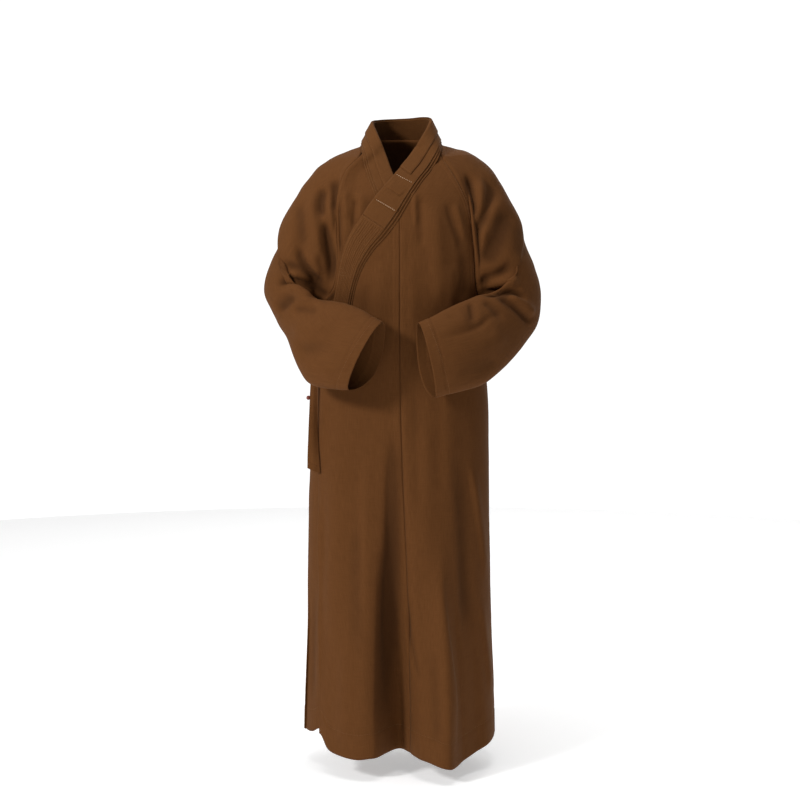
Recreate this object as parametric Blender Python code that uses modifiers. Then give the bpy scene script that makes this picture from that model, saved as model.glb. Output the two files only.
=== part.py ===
"""Monk's robe in its worn form: an ankle-length crossed robe, hollow, with raglan sleeves.

Metres, +Z up. The origin is the middle of the neck base, where the wearer's neck and
shoulders carry the robe. The front faces -Y and +X is the wearer's left.
Every piece of cloth is an open surface worked out from the tables below and then
thickened. Seams between panels are narrow gaps, and what lies on a panel is made from
the panel's own points, moved outward.
"""
import math

import bmesh
import bpy
from mathutils import Vector

# ---------------------------------------------------------------- driving sizes
CLOTH = 0.0012            # wall of one layer of cloth
LAYER = 0.0020            # step from one layer of the collar to the next
FIRST_LAYER = 0.0026      # step from a panel to the first layer that lies on it
INNER_FRONT_DEPTH = 0.0105  # how far the inner front lies behind the outer front
AXIS_X = -0.0035          # the skirt hangs a little to the wearer's right
ROUNDNESS = 2.3           # power of the rings: 2 is an ellipse, more is squarer
UNDERARM_Z = -0.372
SHOULDER_Z = -0.100        # above this the sleeves stand free of the body's rings
HEM_FRONT_Z = -1.378
HEM_SIDE_Z = -1.352
HEM_BACK_Z = -1.360

BROWN = (0.107, 0.043, 0.012)
BROWN_LIGHT = (0.120, 0.050, 0.015)
BROWN_DARK = (0.085, 0.033, 0.010)
RED_BROWN = (0.190, 0.035, 0.020)

# Rings of the body: height, half width, depth in front of the axis, depth behind it.
# z, half_width, front, back
BODY = [
    (0.015, 0.190, 0.026, 0.073),
    (0.000, 0.194, 0.040, 0.080),
    (-0.030, 0.198, 0.067, 0.094),
    (-0.060, 0.200, 0.090, 0.105),
    (-0.100, 0.200, 0.113, 0.116),
    (-0.150, 0.199, 0.127, 0.124),
    (-0.200, 0.198, 0.134, 0.128),
    (-0.300, 0.196, 0.137, 0.128),
    (-0.400, 0.193, 0.134, 0.122),
    (-0.500, 0.197, 0.134, 0.118),
    (-0.600, 0.2035, 0.139, 0.120),
    (-0.860, 0.2065, 0.152, 0.130),
    (-1.100, 0.2130, 0.164, 0.140),
    (-1.290, 0.2205, 0.176, 0.150),
    (-1.400, 0.2230, 0.184, 0.155),
]

# Raglan seams from the neck to the underarm: height, distance from the middle.
# z, front_left, front_right, back
RAGLAN = [
    (0.002, 0.078, 0.074, 0.079),
    (-0.020, 0.088, 0.090, 0.093),
    (-0.058, 0.114, 0.126, 0.116),
    (-0.115, 0.145, 0.143, 0.138),
    (-0.160, 0.158, 0.144, 0.150),
    (-0.200, 0.164, 0.143, 0.158),
    (-0.260, 0.166, 0.143, 0.165),
    (-0.320, 0.169, 0.153, 0.172),
    (-0.350, 0.180, 0.178, 0.184),
    (UNDERARM_Z, 0.1945, 0.1945, 0.1945),
]

# How far the front hem rises above its plain line: x, rise.
FRONT_HEM = [
    (0.225, 0.000),
    (0.200, -0.002),
    (0.178, -0.006),
    (0.156, -0.011),
    (0.130, -0.016),
    (0.100, -0.011),
    (0.070, -0.003),
    (0.045, 0.002),
    (0.016, 0.006),
    (-0.030, 0.007),
    (-0.070, 0.006),
    (-0.100, 0.001),
    (-0.145, 0.002),
    (-0.166, 0.008),
    (-0.186, 0.034),
    (-0.205, 0.018),
    (-0.225, 0.004),
]

# Folds of the skirt. Each is a long ridge (out > 0) or trough (out < 0): the middle at
# its upper end and at the hem, where it starts, its reach on both sides, its size.
# x_top, x_hem, z_top, reach_right, reach_left, out
FRONT_FOLDS = [
    (-0.010, -0.002, -0.72, 0.062, 0.052, -0.078),
    (-0.095, -0.088, -0.70, 0.090, 0.060, 0.016),
    (0.084, 0.109, -0.80, 0.075, 0.034, 0.052),
    (0.150, 0.172, -0.90, 0.040, 0.030, -0.012),
]
BACK_FOLDS = [
    (0.000, 0.006, -0.62, 0.070, 0.060, -0.022),
    (-0.090, -0.100, -0.70, 0.050, 0.060, 0.018),
    (0.085, 0.104, -0.80, 0.055, 0.045, 0.020),
    (0.150, 0.165, -0.95, 0.030, 0.030, -0.010),
]

# The crossed collar band, from its low end at the wearer's right, up over the left
# shoulder, round the neck and down the right side, under the outer front. Each row has
# the neck edge and the body edge; hug is 1 where the band lies on the chest.
# neck_edge, body_edge, hug, level
BAND = [
    ((-0.172, -0.10, -0.425), (-0.128, -0.11, -0.430), 1.0, 0.0),
    ((-0.157, -0.10, -0.380), (-0.114, -0.11, -0.385), 1.0, 0.0),
    ((-0.147, -0.10, -0.336), (-0.106, -0.11, -0.338), 1.0, 0.0),
    ((-0.140, -0.10, -0.296), (-0.097, -0.11, -0.303), 1.0, 0.0),
    ((-0.132, -0.10, -0.252), (-0.083, -0.11, -0.268), 1.0, 0.0),
    ((-0.117, -0.10, -0.207), (-0.059, -0.11, -0.232), 1.0, 0.0),
    ((-0.093, -0.10, -0.168), (-0.033, -0.11, -0.203), 1.0, 0.0),
    ((-0.064, -0.10, -0.124), (-0.008, -0.11, -0.171), 1.0, 0.0),
    ((-0.033, -0.10, -0.087), (0.018, -0.11, -0.127), 1.0, 0.0),
    ((-0.003, -0.07, -0.052), (0.044, -0.09, -0.086), 1.0, 0.0),
    ((0.019, -0.060, -0.025), (0.066, -0.070, -0.058), 1.0, 0.0),
    ((0.041, -0.046, 0.009), (0.0845, -0.069, -0.028), 0.25, 0.0),
    ((0.057, -0.018, 0.042), (0.0915, -0.024, -0.002), 0.0, 0.0),
    ((0.062, 0.013, 0.062), (0.0905, 0.024, 0.005), 0.0, 0.0),
    ((0.048, 0.043, 0.067), (0.072, 0.079, 0.002), 0.0, 0.0),
    ((0.018, 0.060, 0.066), (0.027, 0.090, -0.002), 0.0, 0.0),
    ((-0.018, 0.060, 0.064), (-0.027, 0.090, -0.002), 0.0, 0.0),
    ((-0.047, 0.043, 0.060), (-0.072, 0.079, 0.002), 0.0, 0.0),
    ((-0.060, 0.013, 0.055), (-0.090, 0.024, 0.003), 0.0, 0.0),
    ((-0.055, -0.018, 0.036), (-0.090, -0.024, -0.006), 0.0, 0.0),
    ((-0.044, -0.046, 0.005), (-0.085, -0.071, -0.032), 0.25, -0.25),
    ((-0.032, -0.060, -0.024), (-0.078, -0.070, -0.060), 1.0, -0.7),
    ((-0.018, -0.075, -0.060), (-0.067, -0.090, -0.092), 1.0, -1.0),
    ((0.003, -0.10, -0.100), (-0.048, -0.11, -0.136), 1.0, -1.0),
    ((0.030, -0.10, -0.140), (-0.020, -0.11, -0.178), 1.0, -1.0),
    ((0.064, -0.10, -0.184), (0.014, -0.11, -0.222), 1.0, -1.0),
]
BAND_END = 25.0           # place of the hidden end of the band
LAYERS_END = 23.0         # place where its upper layers end, under the outer front
QUILT_TOP = 6.5           # place along the band where the quilted stretch ends
QUILT_GAP = 0.04          # gap from there to the plain stretch, in places
GUARD_START = 9.0         # place where the neck guard is cut off
MIDDLE_SHARE, TOP_SHARE, GUARD_SHARE = 0.91, 0.82, 0.52    # widths of the layers on the base
GUARD_LAYER = 3.3         # the guard is padded, so it stands further out than a plain layer
BAND_STEP = 0.5           # spacing of the band's cross lines, in places

# Sections of the sleeves, shoulder to cuff: the elbow-side point, the crook-side point
# half the thickness between them and how far the wall next to the body hangs down.
# x is the distance from the middle.
# elbow_side, crook_side, half_thickness, inner_drop
SLEEVE_LEFT = [
    ((0.150, 0.012, -0.011), (0.198, -0.014, -0.369), 0.104, 0.000),
    ((0.204, 0.018, -0.050), (0.199, -0.031, -0.365), 0.094, 0.030),
    ((0.238, 0.028, -0.120), (0.197, -0.048, -0.360), 0.086, 0.045),
    ((0.264, 0.038, -0.200), (0.192, -0.065, -0.354), 0.078, 0.050),
    ((0.291, 0.040, -0.280), (0.184, -0.082, -0.347), 0.070, 0.045),
    ((0.311, 0.022, -0.350), (0.174, -0.098, -0.341), 0.062, 0.035),
    ((0.304, -0.018, -0.410), (0.162, -0.114, -0.338), 0.055, 0.025),
    ((0.269, -0.065, -0.455), (0.147, -0.134, -0.343), 0.049, 0.012),
    ((0.226, -0.112, -0.498), (0.125, -0.155, -0.352), 0.044, 0.000),
    ((0.185, -0.150, -0.529), (0.098, -0.173, -0.364), 0.040, 0.000),
    ((0.135, -0.180, -0.543), (0.068, -0.188, -0.379), 0.037, 0.000),
    ((0.074, -0.196, -0.556), (0.038, -0.196, -0.392), 0.037, 0.000),
]
SLEEVE_RIGHT = [
    ((0.146, 0.012, -0.019), (0.204, -0.014, -0.371), 0.102, 0.000),
    ((0.196, 0.018, -0.052), (0.206, -0.032, -0.368), 0.093, 0.030),
    ((0.230, 0.028, -0.116), (0.203, -0.050, -0.364), 0.086, 0.045),
    ((0.253, 0.038, -0.194), (0.197, -0.068, -0.360), 0.078, 0.050),
    ((0.286, 0.040, -0.270), (0.187, -0.085, -0.356), 0.069, 0.045),
    ((0.305, 0.020, -0.330), (0.172, -0.102, -0.352), 0.061, 0.035),
    ((0.284, -0.022, -0.386), (0.149, -0.118, -0.350), 0.054, 0.025),
    ((0.252, -0.068, -0.436), (0.134, -0.137, -0.351), 0.049, 0.012),
    ((0.233, -0.110, -0.484), (0.114, -0.156, -0.355), 0.045, 0.000),
    ((0.206, -0.146, -0.526), (0.090, -0.174, -0.363), 0.042, 0.000),
    ((0.165, -0.178, -0.538), (0.064, -0.189, -0.377), 0.041, 0.000),
    ((0.114, -0.196, -0.539), (0.040, -0.200, -0.391), 0.041, 0.000),
]
INNER_WALL_AT = math.radians(250.0)      # where on a section the wall next to the body is
INNER_WALL_REACH = math.radians(80.0)
ARM_CLEARANCE_LEFT = 0.0075     # from the body panels to the sleeve that rests on them
ARM_CLEARANCE_RIGHT = 0.0140    # the same on the side where the collar band passes under
NECK_SHARE = 0.11               # share of the armhole loop that runs along the neck

# The streamer of the side tie: height, middle, distance in front of the axis, half width.
# z, x, y, half_width
STREAMER = [
    (-0.515, -0.1960, -0.071, 0.0070),
    (-0.545, -0.1980, -0.075, 0.0075),
    (-0.600, -0.1990, -0.080, 0.0090),
    (-0.660, -0.1990, -0.083, 0.0115),
    (-0.700, -0.1985, -0.085, 0.0135),
    (-0.733, -0.1975, -0.087, 0.0150),
]
KNOT_AT = (-0.2130, -0.012, -0.573)
KNOT_RADIUS = 0.0052
STREAMER_SLANT = 0.006     # how far the slanted lower end drops below the middle
CLOTH_ROUGHNESS, CORD_ROUGHNESS = 0.85, 0.6


# ---------------------------------------------------------------- working out shapes
def smooth(t):
    """Ease from 0 to 1, flat at both ends."""
    t = min(max(t, 0.0), 1.0)
    return t * t * (3.0 - 2.0 * t)


def flat_row(row):
    """A row's numbers as one list, points opened out."""
    numbers = []
    for value in row:
        numbers.extend(value if isinstance(value, tuple) else (value,))
    return numbers


def spline_rows(rows, place):
    """Row at a fractional place in a table, on a Catmull-Rom curve through the rows."""
    last = len(rows) - 1
    place = min(max(place, 0.0), float(last))
    k = min(int(place), last - 1)
    t = place - k
    p1, p2 = flat_row(rows[k]), flat_row(rows[k + 1])
    p0 = flat_row(rows[k - 1]) if k > 0 else [2 * a - b for a, b in zip(p1, p2)]
    p3 = flat_row(rows[k + 2]) if k + 2 <= last else [2 * b - a for a, b in zip(p1, p2)]
    return [
        0.5 * (2 * b + (c - a) * t + (2 * a - 5 * b + 4 * c - d) * t * t
               + (3 * b - a - 3 * c + d) * t ** 3)
        for a, b, c, d in zip(p0, p1, p2, p3)
    ]


def at_height(rows, z):
    """Row of a table keyed by falling z, with smooth slopes between its rows."""
    z = min(max(z, rows[-1][0]), rows[0][0])
    k = next(i for i in range(len(rows) - 1) if z >= rows[i + 1][0])
    low, high = rows[k + 1], rows[k]
    span = low[0] - high[0]
    t = (z - high[0]) / span
    before = rows[k - 1] if k > 0 else high
    after = rows[k + 2] if k + 2 < len(rows) else low
    result = []
    for c in range(1, len(high)):
        slope_high = (low[c] - before[c]) / (low[0] - before[0])
        slope_low = (after[c] - high[c]) / (after[0] - high[0])
        h00, h10 = 2 * t ** 3 - 3 * t * t + 1, t ** 3 - 2 * t * t + t
        h01, h11 = 3 * t * t - 2 * t ** 3, t ** 3 - t * t
        result.append(h00 * high[c] + h10 * span * slope_high
                      + h01 * low[c] + h11 * span * slope_low)
    return result


def fold_out(folds, x, z):
    """How far the folds push the skirt out at one place."""
    total = 0.0
    for x_top, x_hem, z_top, reach_right, reach_left, out in folds:
        grown = (z_top - z) / (z_top - HEM_FRONT_Z)
        if grown <= 0.0:
            continue
        middle = x_top + (x_hem - x_top) * grown
        reach = (reach_left if x > middle else reach_right) * (0.75 + 0.25 * grown)
        near = 1.0 - abs(x - middle) / reach
        if near > 0.0:
            total += out * smooth(grown) * smooth(near)
    return total


def ring_point(angle, z):
    """Point of the body's ring: angle 0 is the wearer's left side, -90 degrees the front."""
    half_width, front, back = at_height(BODY, z)
    c, s = math.cos(angle), math.sin(angle)
    power = 2.0 / ROUNDNESS
    x = AXIS_X + math.copysign(half_width * abs(c) ** power, c)
    if s <= 0.0:
        fade = min(1.0, 4.0 * abs(s))
        y = -front * abs(s) ** power - fold_out(FRONT_FOLDS, x, z) * fade
    else:
        fade = min(1.0, 4.0 * abs(s))
        y = back * abs(s) ** power + fold_out(BACK_FOLDS, x, z) * fade
    return Vector((x, y, z))


def ring_angle(x, z):
    """Angle, from 0 to pi, at which a ring has a given x."""
    half_width = at_height(BODY, z)[0]
    share = min(max((x - AXIS_X) / half_width, -1.0), 1.0)
    return math.acos(math.copysign(abs(share) ** (ROUNDNESS / 2.0), share))


def chest_point(x, z, out=0.0):
    """Point on the front of the body, moved outward by out."""
    p = ring_point(-ring_angle(x, z), z)
    step = 0.002
    across = ring_point(-ring_angle(x + step, z), z) - ring_point(-ring_angle(x - step, z), z)
    down = ring_point(-ring_angle(x, z - step), z - step) - ring_point(-ring_angle(x, z + step), z + step)
    normal = across.cross(-down)
    if normal.y > 0.0:
        normal = -normal
    return p + normal.normalized() * out


def hem_z(angle):
    """Height of the hem at an angle of the ring: lowest in front, higher at the sides."""
    s = math.sin(angle)
    if s >= 0.0:
        return HEM_SIDE_Z + (HEM_BACK_Z - HEM_SIDE_Z) * s
    rise = at_height(FRONT_HEM, ring_point(angle, HEM_FRONT_Z).x)[0]
    return HEM_SIDE_Z + (HEM_FRONT_Z - HEM_SIDE_Z) * abs(s) + rise


def raglan_x(z, column):
    """Distance of a raglan seam from the middle at a height above the underarm."""
    return at_height(RAGLAN, z)[column]


def band_row(place):
    """Neck edge, body edge, hug and level of the collar band at a place along it."""
    n = spline_rows(BAND, place)
    return Vector(n[0:3]), Vector(n[3:6]), min(max(n[6], 0.0), 1.0), min(max(n[7], -1.0), 0.0)


def band_surface(place, across):
    """Point of the band before layering: across is 0 at the neck edge, 1 at the body edge."""
    neck_edge, body_edge, hug, level = band_row(place)
    p = neck_edge.lerp(body_edge, across)
    chest = chest_point(p.x, min(p.z, -0.004))
    return p.lerp(Vector((p.x, chest.y, p.z)), hug)


def band_point(place, across, out):
    """Point of the band moved outward by out, and inward where it belongs to the inner front."""
    step = 0.05
    p = band_surface(place, across)
    along = band_surface(place + step, across) - band_surface(place - step, across)
    over = band_surface(place, min(across + step, 1.0)) - band_surface(place, max(across - step, 0.0))
    normal = over.cross(along).normalized()
    level = band_row(place)[3]
    return p + normal * (out + INNER_FRONT_DEPTH * level)


# ---------------------------------------------------------------- making objects
for old in list(bpy.data.objects):
    bpy.data.objects.remove(old)

robe = bpy.data.collections.new("monk_robe")
bpy.context.scene.collection.children.link(robe)


def finish(name, colour, roughness):
    """Plain cloth material of one piece."""
    material = bpy.data.materials.new(name + "_cloth")
    material.use_nodes = True
    shader = material.node_tree.nodes["Principled BSDF"]
    shader.inputs["Base Color"].default_value = (*colour, 1.0)
    shader.inputs["Roughness"].default_value = roughness
    shader.inputs["Metallic"].default_value = 0.0
    return material


def cloth(name, columns, rows, place, colour, wrapped=False):
    """A piece of cloth: a grid whose points go where place(across, down) says, thickened."""
    shape = bmesh.new()
    bmesh.ops.create_grid(shape, x_segments=columns, y_segments=rows, size=0.5)
    for v in shape.verts:
        v.co = place(v.co.x + 0.5, 0.5 - v.co.y)
    if wrapped:
        bmesh.ops.remove_doubles(shape, verts=shape.verts, dist=0.00001)
    bmesh.ops.recalc_face_normals(shape, faces=shape.faces)
    mesh = bpy.data.meshes.new(name)
    shape.to_mesh(mesh)
    shape.free()
    mesh.shade_smooth()
    piece = bpy.data.objects.new(name, mesh)
    robe.objects.link(piece)
    shell = piece.modifiers.new("wall", "SOLIDIFY")
    shell.thickness = CLOTH
    shell.offset = 0.0
    mesh.materials.append(finish(name, colour, CLOTH_ROUGHNESS))
    return piece


# ---------------------------------------------------------------- fronts and back
FRONT_SEAM_SWING = 0.023   # the middle seam wanders this far to the wearer's left by the hem
MIDDLE_SEAM = 0.0008       # gap at the middle seam
FREE_EDGE_X = -0.188       # free edge of the outer front on the wearer's right
INNER_HEM_DEPTH = 0.030    # how much further back the inner front hangs at the hem
INNER_EDGE_X = 0.112       # free edge of the hidden inner front on the wearer's left
SIDE_ANGLE = 0.0025        # half the seam gap at the sides, as an angle of the ring
PANEL_TOP = {"left": -0.036, "overlap": -0.172, "inner": -0.036, "back": 0.003}
ABOVE = {"left": 8 / 18, "overlap": 5 / 16, "inner": 7 / 16, "back": 8 / 18}   # share of the rows
LEFT_INSET, INNER_INSET, BACK_INSET = 0.0026, 0.0048, 0.0029   # from the raglan seam line
UNDER_BAND_LEFT, UNDER_BAND_RIGHT = 0.85, 0.60    # lines of the band that cover the panels' edges


def band_x(z, first, last, across):
    """x of a lengthwise line of the band at a height, between two places along it."""
    steps = 60
    before = None
    for k in range(steps + 1):
        place = first + (last - first) * k / steps
        neck_edge, body_edge = band_row(place)[0:2]
        p = neck_edge.lerp(body_edge, across)
        if before is not None and (before.z - z) * (p.z - z) <= 0.0:
            share = (z - before.z) / (p.z - before.z) if p.z != before.z else 0.0
            return before.x + (p.x - before.x) * share
        before = p
    return None


def row_height(down, top, above):
    """Height of a row before its hem is shaped; the share above of the rows ends at the underarm."""
    if down <= above:
        return top + (UNDERARM_Z - top) * down / above
    return UNDERARM_Z + (HEM_FRONT_Z - UNDERARM_Z) * (down - above) / (1.0 - above)


def hemmed(angle, z):
    """Ring point with the lowest rows moved to the shaped hem."""
    lift = smooth((-1.0 - z) / (-1.0 - HEM_FRONT_Z))
    return ring_point(angle, z + (hem_z(angle) - HEM_FRONT_Z) * lift)


def middle_seam_x(z):
    """x of the seam down the middle of the outer front."""
    return AXIS_X + 0.001 + FRONT_SEAM_SWING * smooth((-0.40 - z) / 0.95)


def front_left_point(across, down):
    """Outer front from the middle seam to the wearer's left raglan and side."""
    z = row_height(down, PANEL_TOP["left"], ABOVE["left"])
    inner_x = middle_seam_x(z) + 0.5 * MIDDLE_SEAM
    if z > -0.20:
        under_band = band_x(z, 5.0, 13.0, UNDER_BAND_LEFT)
        if under_band is not None:
            inner_x = max(inner_x, under_band)
    start = -ring_angle(inner_x, z)
    stop = -SIDE_ANGLE
    if z > UNDERARM_Z:
        stop = min(stop, -ring_angle(raglan_x(z, 0) - LEFT_INSET, z))
    return hemmed(start + (stop - start) * across, z)


def front_overlap_point(across, down):
    """Outer front from the middle seam to its free edge on the wearer's right."""
    z = row_height(down, PANEL_TOP["overlap"], ABOVE["overlap"])
    outer_x = FREE_EDGE_X
    if z > -0.50:
        under_band = band_x(max(z, -0.405), 0.0, 9.0, UNDER_BAND_RIGHT)
        share = smooth((-0.38 - z) / 0.12)
        outer_x = under_band + (FREE_EDGE_X - under_band) * share
    start = -ring_angle(middle_seam_x(z) - 0.5 * MIDDLE_SEAM, z)
    stop = -ring_angle(outer_x, z)
    return hemmed(start + (stop - start) * across, z)


def front_inner_point(across, down):
    """Inner front from the wearer's right raglan and side to its hidden edge."""
    z = row_height(down, PANEL_TOP["inner"], ABOVE["inner"])
    start = -math.pi + SIDE_ANGLE
    if z > UNDERARM_Z:
        start = max(start, -ring_angle(-raglan_x(z, 1) + INNER_INSET, z))
    edge = band_x(max(z, -0.20), 18.0, BAND_END, UNDER_BAND_LEFT)
    if z < -0.20:
        edge += (INNER_EDGE_X - edge) * smooth((-0.20 - z) / 0.25)
    stop = -ring_angle(edge, z)
    p = hemmed(start + (stop - start) * across, z)
    behind = INNER_FRONT_DEPTH + INNER_HEM_DEPTH * smooth((-0.70 - z) / 0.60)
    p.y += behind * smooth(across * abs(stop - start) / 0.25)
    return p


def back_point(across, down):
    """The back, in one piece, from raglan to raglan and side to side."""
    z = row_height(down, PANEL_TOP["back"], ABOVE["back"])
    start, stop = SIDE_ANGLE, math.pi - SIDE_ANGLE
    if z > UNDERARM_Z:
        reach = raglan_x(z, 2) - BACK_INSET
        start, stop = max(start, ring_angle(reach, z)), min(stop, ring_angle(-reach, z))
    return hemmed(start + (stop - start) * across, z)


cloth("front_left", 13, 18, front_left_point, BROWN)
cloth("front_overlap", 13, 16, front_overlap_point, BROWN)
cloth("front_inner", 11, 16, front_inner_point, BROWN_DARK)
cloth("back", 16, 18, back_point, BROWN)


# ---------------------------------------------------------------- sleeves
ARMHOLE_TOP_FRONT, ARMHOLE_TOP_BACK = -0.026, 0.002
ARMHOLE_CROWD = 1.35       # crowds the armhole's points towards the underarm
BLEND_ROWS = 1.5           # the armhole blends into the oval sections over this many rows
NECK_SIDE = (0.0815, 0.012, -0.001)      # the sleeve's neck edge, half way round


def armhole_point(round_share, side):
    """Edge of the armhole: 0 is the neck, 0.25 the front raglan, 0.5 the underarm."""
    share = round_share % 1.0
    half_neck = 0.5 * NECK_SHARE
    to_front = 1.0 if share <= 0.5 else -1.0
    near = share if share <= 0.5 else 1.0 - share
    column = (0 if side > 0 else 1) if to_front > 0 else 2
    top = ARMHOLE_TOP_FRONT if to_front > 0 else ARMHOLE_TOP_BACK
    down = max(near - half_neck, 0.0) / (0.5 - half_neck)
    z = top + (UNDERARM_Z + 0.001 - top) * (1.0 - (1.0 - down) ** ARMHOLE_CROWD)
    x = side * raglan_x(z, column)
    p = ring_point(-to_front * ring_angle(x, z), z)
    if near < half_neck:
        t = 1.0 - near / half_neck
        neck_side = Vector((side * NECK_SIDE[0], NECK_SIDE[1], NECK_SIDE[2]))
        p = p.lerp(neck_side, t * t * (2.0 - t))
    return p


def sleeve_ring_point(rows, place, round_share, side):
    """Point of the sleeve's own oval section at a place along its table."""
    def centre(k):
        n = spline_rows(rows, k)
        return (Vector(n[0:3]) + Vector(n[3:6])) * 0.5

    n = spline_rows(rows, place)
    elbow_side, crook_side, half = Vector(n[0:3]), Vector(n[3:6]), n[6]
    arm = centre(min(place + 0.25, len(rows) - 1.0)) - centre(max(place - 0.25, 0.0))
    axis = (elbow_side - crook_side) * 0.5
    front = arm.cross(axis).normalized()
    if front.y > 0.0:
        front = -front
    turn = 2.0 * math.pi * round_share
    p = (elbow_side + crook_side) * 0.5 + axis * math.cos(turn) + front * half * math.sin(turn)
    from_inner = (turn % (2.0 * math.pi) - INNER_WALL_AT) / INNER_WALL_REACH
    if abs(from_inner) < 1.0:
        p.z -= n[7] * math.cos(0.5 * math.pi * from_inner) ** 2
    return Vector((side * p.x, p.y, p.z))


def clear_of_body(p, gap):
    """Push a point that would touch the body out to a ring that is wider by gap."""
    half_width, front, back = at_height(BODY, p.z)
    depth = (front if p.y < 0.0 else back) + gap
    x = p.x - AXIS_X
    value = (abs(x) / (half_width + gap)) ** ROUNDNESS + (abs(p.y) / depth) ** ROUNDNESS
    radial = value ** (1.0 / ROUNDNESS)
    softness = 0.025
    pushed = 1.0 + softness * math.log1p(math.exp(min((radial - 1.0) / softness, 60.0)))
    return Vector((AXIS_X + x * pushed / radial, p.y * pushed / radial, p.z))


def sleeve_point(rows, side, gap, along, round_share):
    """Sleeve surface: along runs from 0 at the armhole to 1 at the cuff."""
    last = len(rows)
    place = along * last
    k = min(int(place), last - 1)

    def station(i):
        if i <= 0:
            return armhole_point(round_share, side)
        return sleeve_ring_point(rows, i - 1.0, round_share, side)

    if place >= BLEND_ROWS:
        p = sleeve_ring_point(rows, place - 1.0, round_share, side)
    else:
        start, first, second = station(0), station(1), station(2)
        t = place / BLEND_ROWS
        target = sleeve_ring_point(rows, BLEND_ROWS - 1.0, round_share, side)
        slope_in = (first - start) * BLEND_ROWS
        slope_out = (second - first) * BLEND_ROWS
        h00, h10 = 2 * t ** 3 - 3 * t * t + 1, t ** 3 - 2 * t * t + t
        h01, h11 = 3 * t * t - 2 * t ** 3, t ** 3 - t * t
        p = start * h00 + slope_in * h10 + target * h01 + slope_out * h11
    hold = smooth((place - 0.35) / 1.4) * smooth((SHOULDER_Z - p.z) / 0.10)
    return p.lerp(clear_of_body(p, gap), hold)


SLEEVE_START = 0.006       # the sleeve begins this share of its length from the seam line


def sleeve_left_point(across, down):
    along = SLEEVE_START + (1.0 - SLEEVE_START) * down
    return sleeve_point(SLEEVE_LEFT, 1.0, ARM_CLEARANCE_LEFT, along, across)


def sleeve_right_point(across, down):
    along = SLEEVE_START + (1.0 - SLEEVE_START) * down
    return sleeve_point(SLEEVE_RIGHT, -1.0, ARM_CLEARANCE_RIGHT, along, across)


cloth("sleeve_left", 22, 18, sleeve_left_point, BROWN_LIGHT, wrapped=True)
cloth("sleeve_right", 22, 18, sleeve_right_point, BROWN_LIGHT, wrapped=True)


# ---------------------------------------------------------------- collar
def band_piece(name, wide, first, last, layer, body_share, colour):
    """One layer of the collar band between two places along it, with shared cross lines."""
    out = FIRST_LAYER + layer * LAYER
    segments = round((last - first) / BAND_STEP)

    def place(across, down):
        return band_point(first + (last - first) * down, body_share * across, out)

    return cloth(name, wide, segments, place, colour)


band_piece("collar_base", 2, 0.0, BAND_END, 0, 1.0, BROWN)
band_piece("collar_middle", 2, 0.0, LAYERS_END, 1, MIDDLE_SHARE, BROWN)
band_piece("collar_quilted", 2, 0.0, QUILT_TOP, 2, TOP_SHARE, BROWN)
band_piece("collar_plain", 2, QUILT_TOP + QUILT_GAP, LAYERS_END, 2, TOP_SHARE, BROWN)
band_piece("collar_guard", 2, GUARD_START, LAYERS_END, GUARD_LAYER, GUARD_SHARE, BROWN_LIGHT)


# ---------------------------------------------------------------- side tie
def streamer_point(across, down):
    z, x, y, half_width = spline_rows(STREAMER, down * (len(STREAMER) - 1))
    slant = STREAMER_SLANT * (2.0 * across - 1.0) * down
    return Vector((x + half_width * (2.0 * across - 1.0), y, z - slant))


cloth("side_streamer", 1, 10, streamer_point, BROWN_DARK)

ball = bmesh.new()
bmesh.ops.create_uvsphere(ball, u_segments=12, v_segments=8, radius=KNOT_RADIUS)
knot_mesh = bpy.data.meshes.new("side_knot")
ball.to_mesh(knot_mesh)
ball.free()
knot_mesh.shade_smooth()
knot_mesh.materials.append(finish("side_knot", RED_BROWN, CORD_ROUGHNESS))
knot = bpy.data.objects.new("side_knot", knot_mesh)
knot.location = KNOT_AT
robe.objects.link(knot)
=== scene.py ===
import math

import bpy
import numpy as np
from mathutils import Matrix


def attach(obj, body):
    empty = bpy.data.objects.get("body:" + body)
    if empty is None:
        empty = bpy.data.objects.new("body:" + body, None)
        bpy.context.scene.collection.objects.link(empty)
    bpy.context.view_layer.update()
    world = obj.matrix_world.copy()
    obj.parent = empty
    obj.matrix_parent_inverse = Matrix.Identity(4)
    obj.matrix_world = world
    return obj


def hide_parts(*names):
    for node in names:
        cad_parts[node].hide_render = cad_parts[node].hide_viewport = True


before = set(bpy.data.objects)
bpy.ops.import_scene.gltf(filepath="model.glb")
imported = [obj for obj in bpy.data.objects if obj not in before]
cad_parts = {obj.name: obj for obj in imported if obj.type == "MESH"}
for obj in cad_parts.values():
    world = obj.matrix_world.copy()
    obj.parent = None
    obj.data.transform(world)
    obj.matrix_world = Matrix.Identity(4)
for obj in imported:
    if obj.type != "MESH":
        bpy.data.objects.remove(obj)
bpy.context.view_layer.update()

# ------------------------------------------------------------ outer front, wearer's left
# Plain-woven brown cotton in one layer, from the middle seam to the left raglan and side
# seams. It hangs from the collar band and the left sleeve, and is hemmed at the bottom.
BODY = [    # z, half width, depth in front of the axis, depth behind it
    (0.015, 0.190, 0.026, 0.073),
    (0.000, 0.194, 0.040, 0.080),
    (-0.030, 0.198, 0.067, 0.094),
    (-0.060, 0.200, 0.090, 0.105),
    (-0.100, 0.200, 0.113, 0.116),
    (-0.150, 0.199, 0.127, 0.124),
    (-0.200, 0.198, 0.134, 0.128),
    (-0.300, 0.196, 0.137, 0.128),
    (-0.400, 0.193, 0.134, 0.122),
    (-0.500, 0.197, 0.134, 0.118),
    (-0.600, 0.2035, 0.139, 0.120),
    (-0.860, 0.2065, 0.152, 0.130),
    (-1.100, 0.2130, 0.164, 0.140),
    (-1.290, 0.2205, 0.176, 0.150),
    (-1.400, 0.2230, 0.184, 0.155),
]
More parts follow.
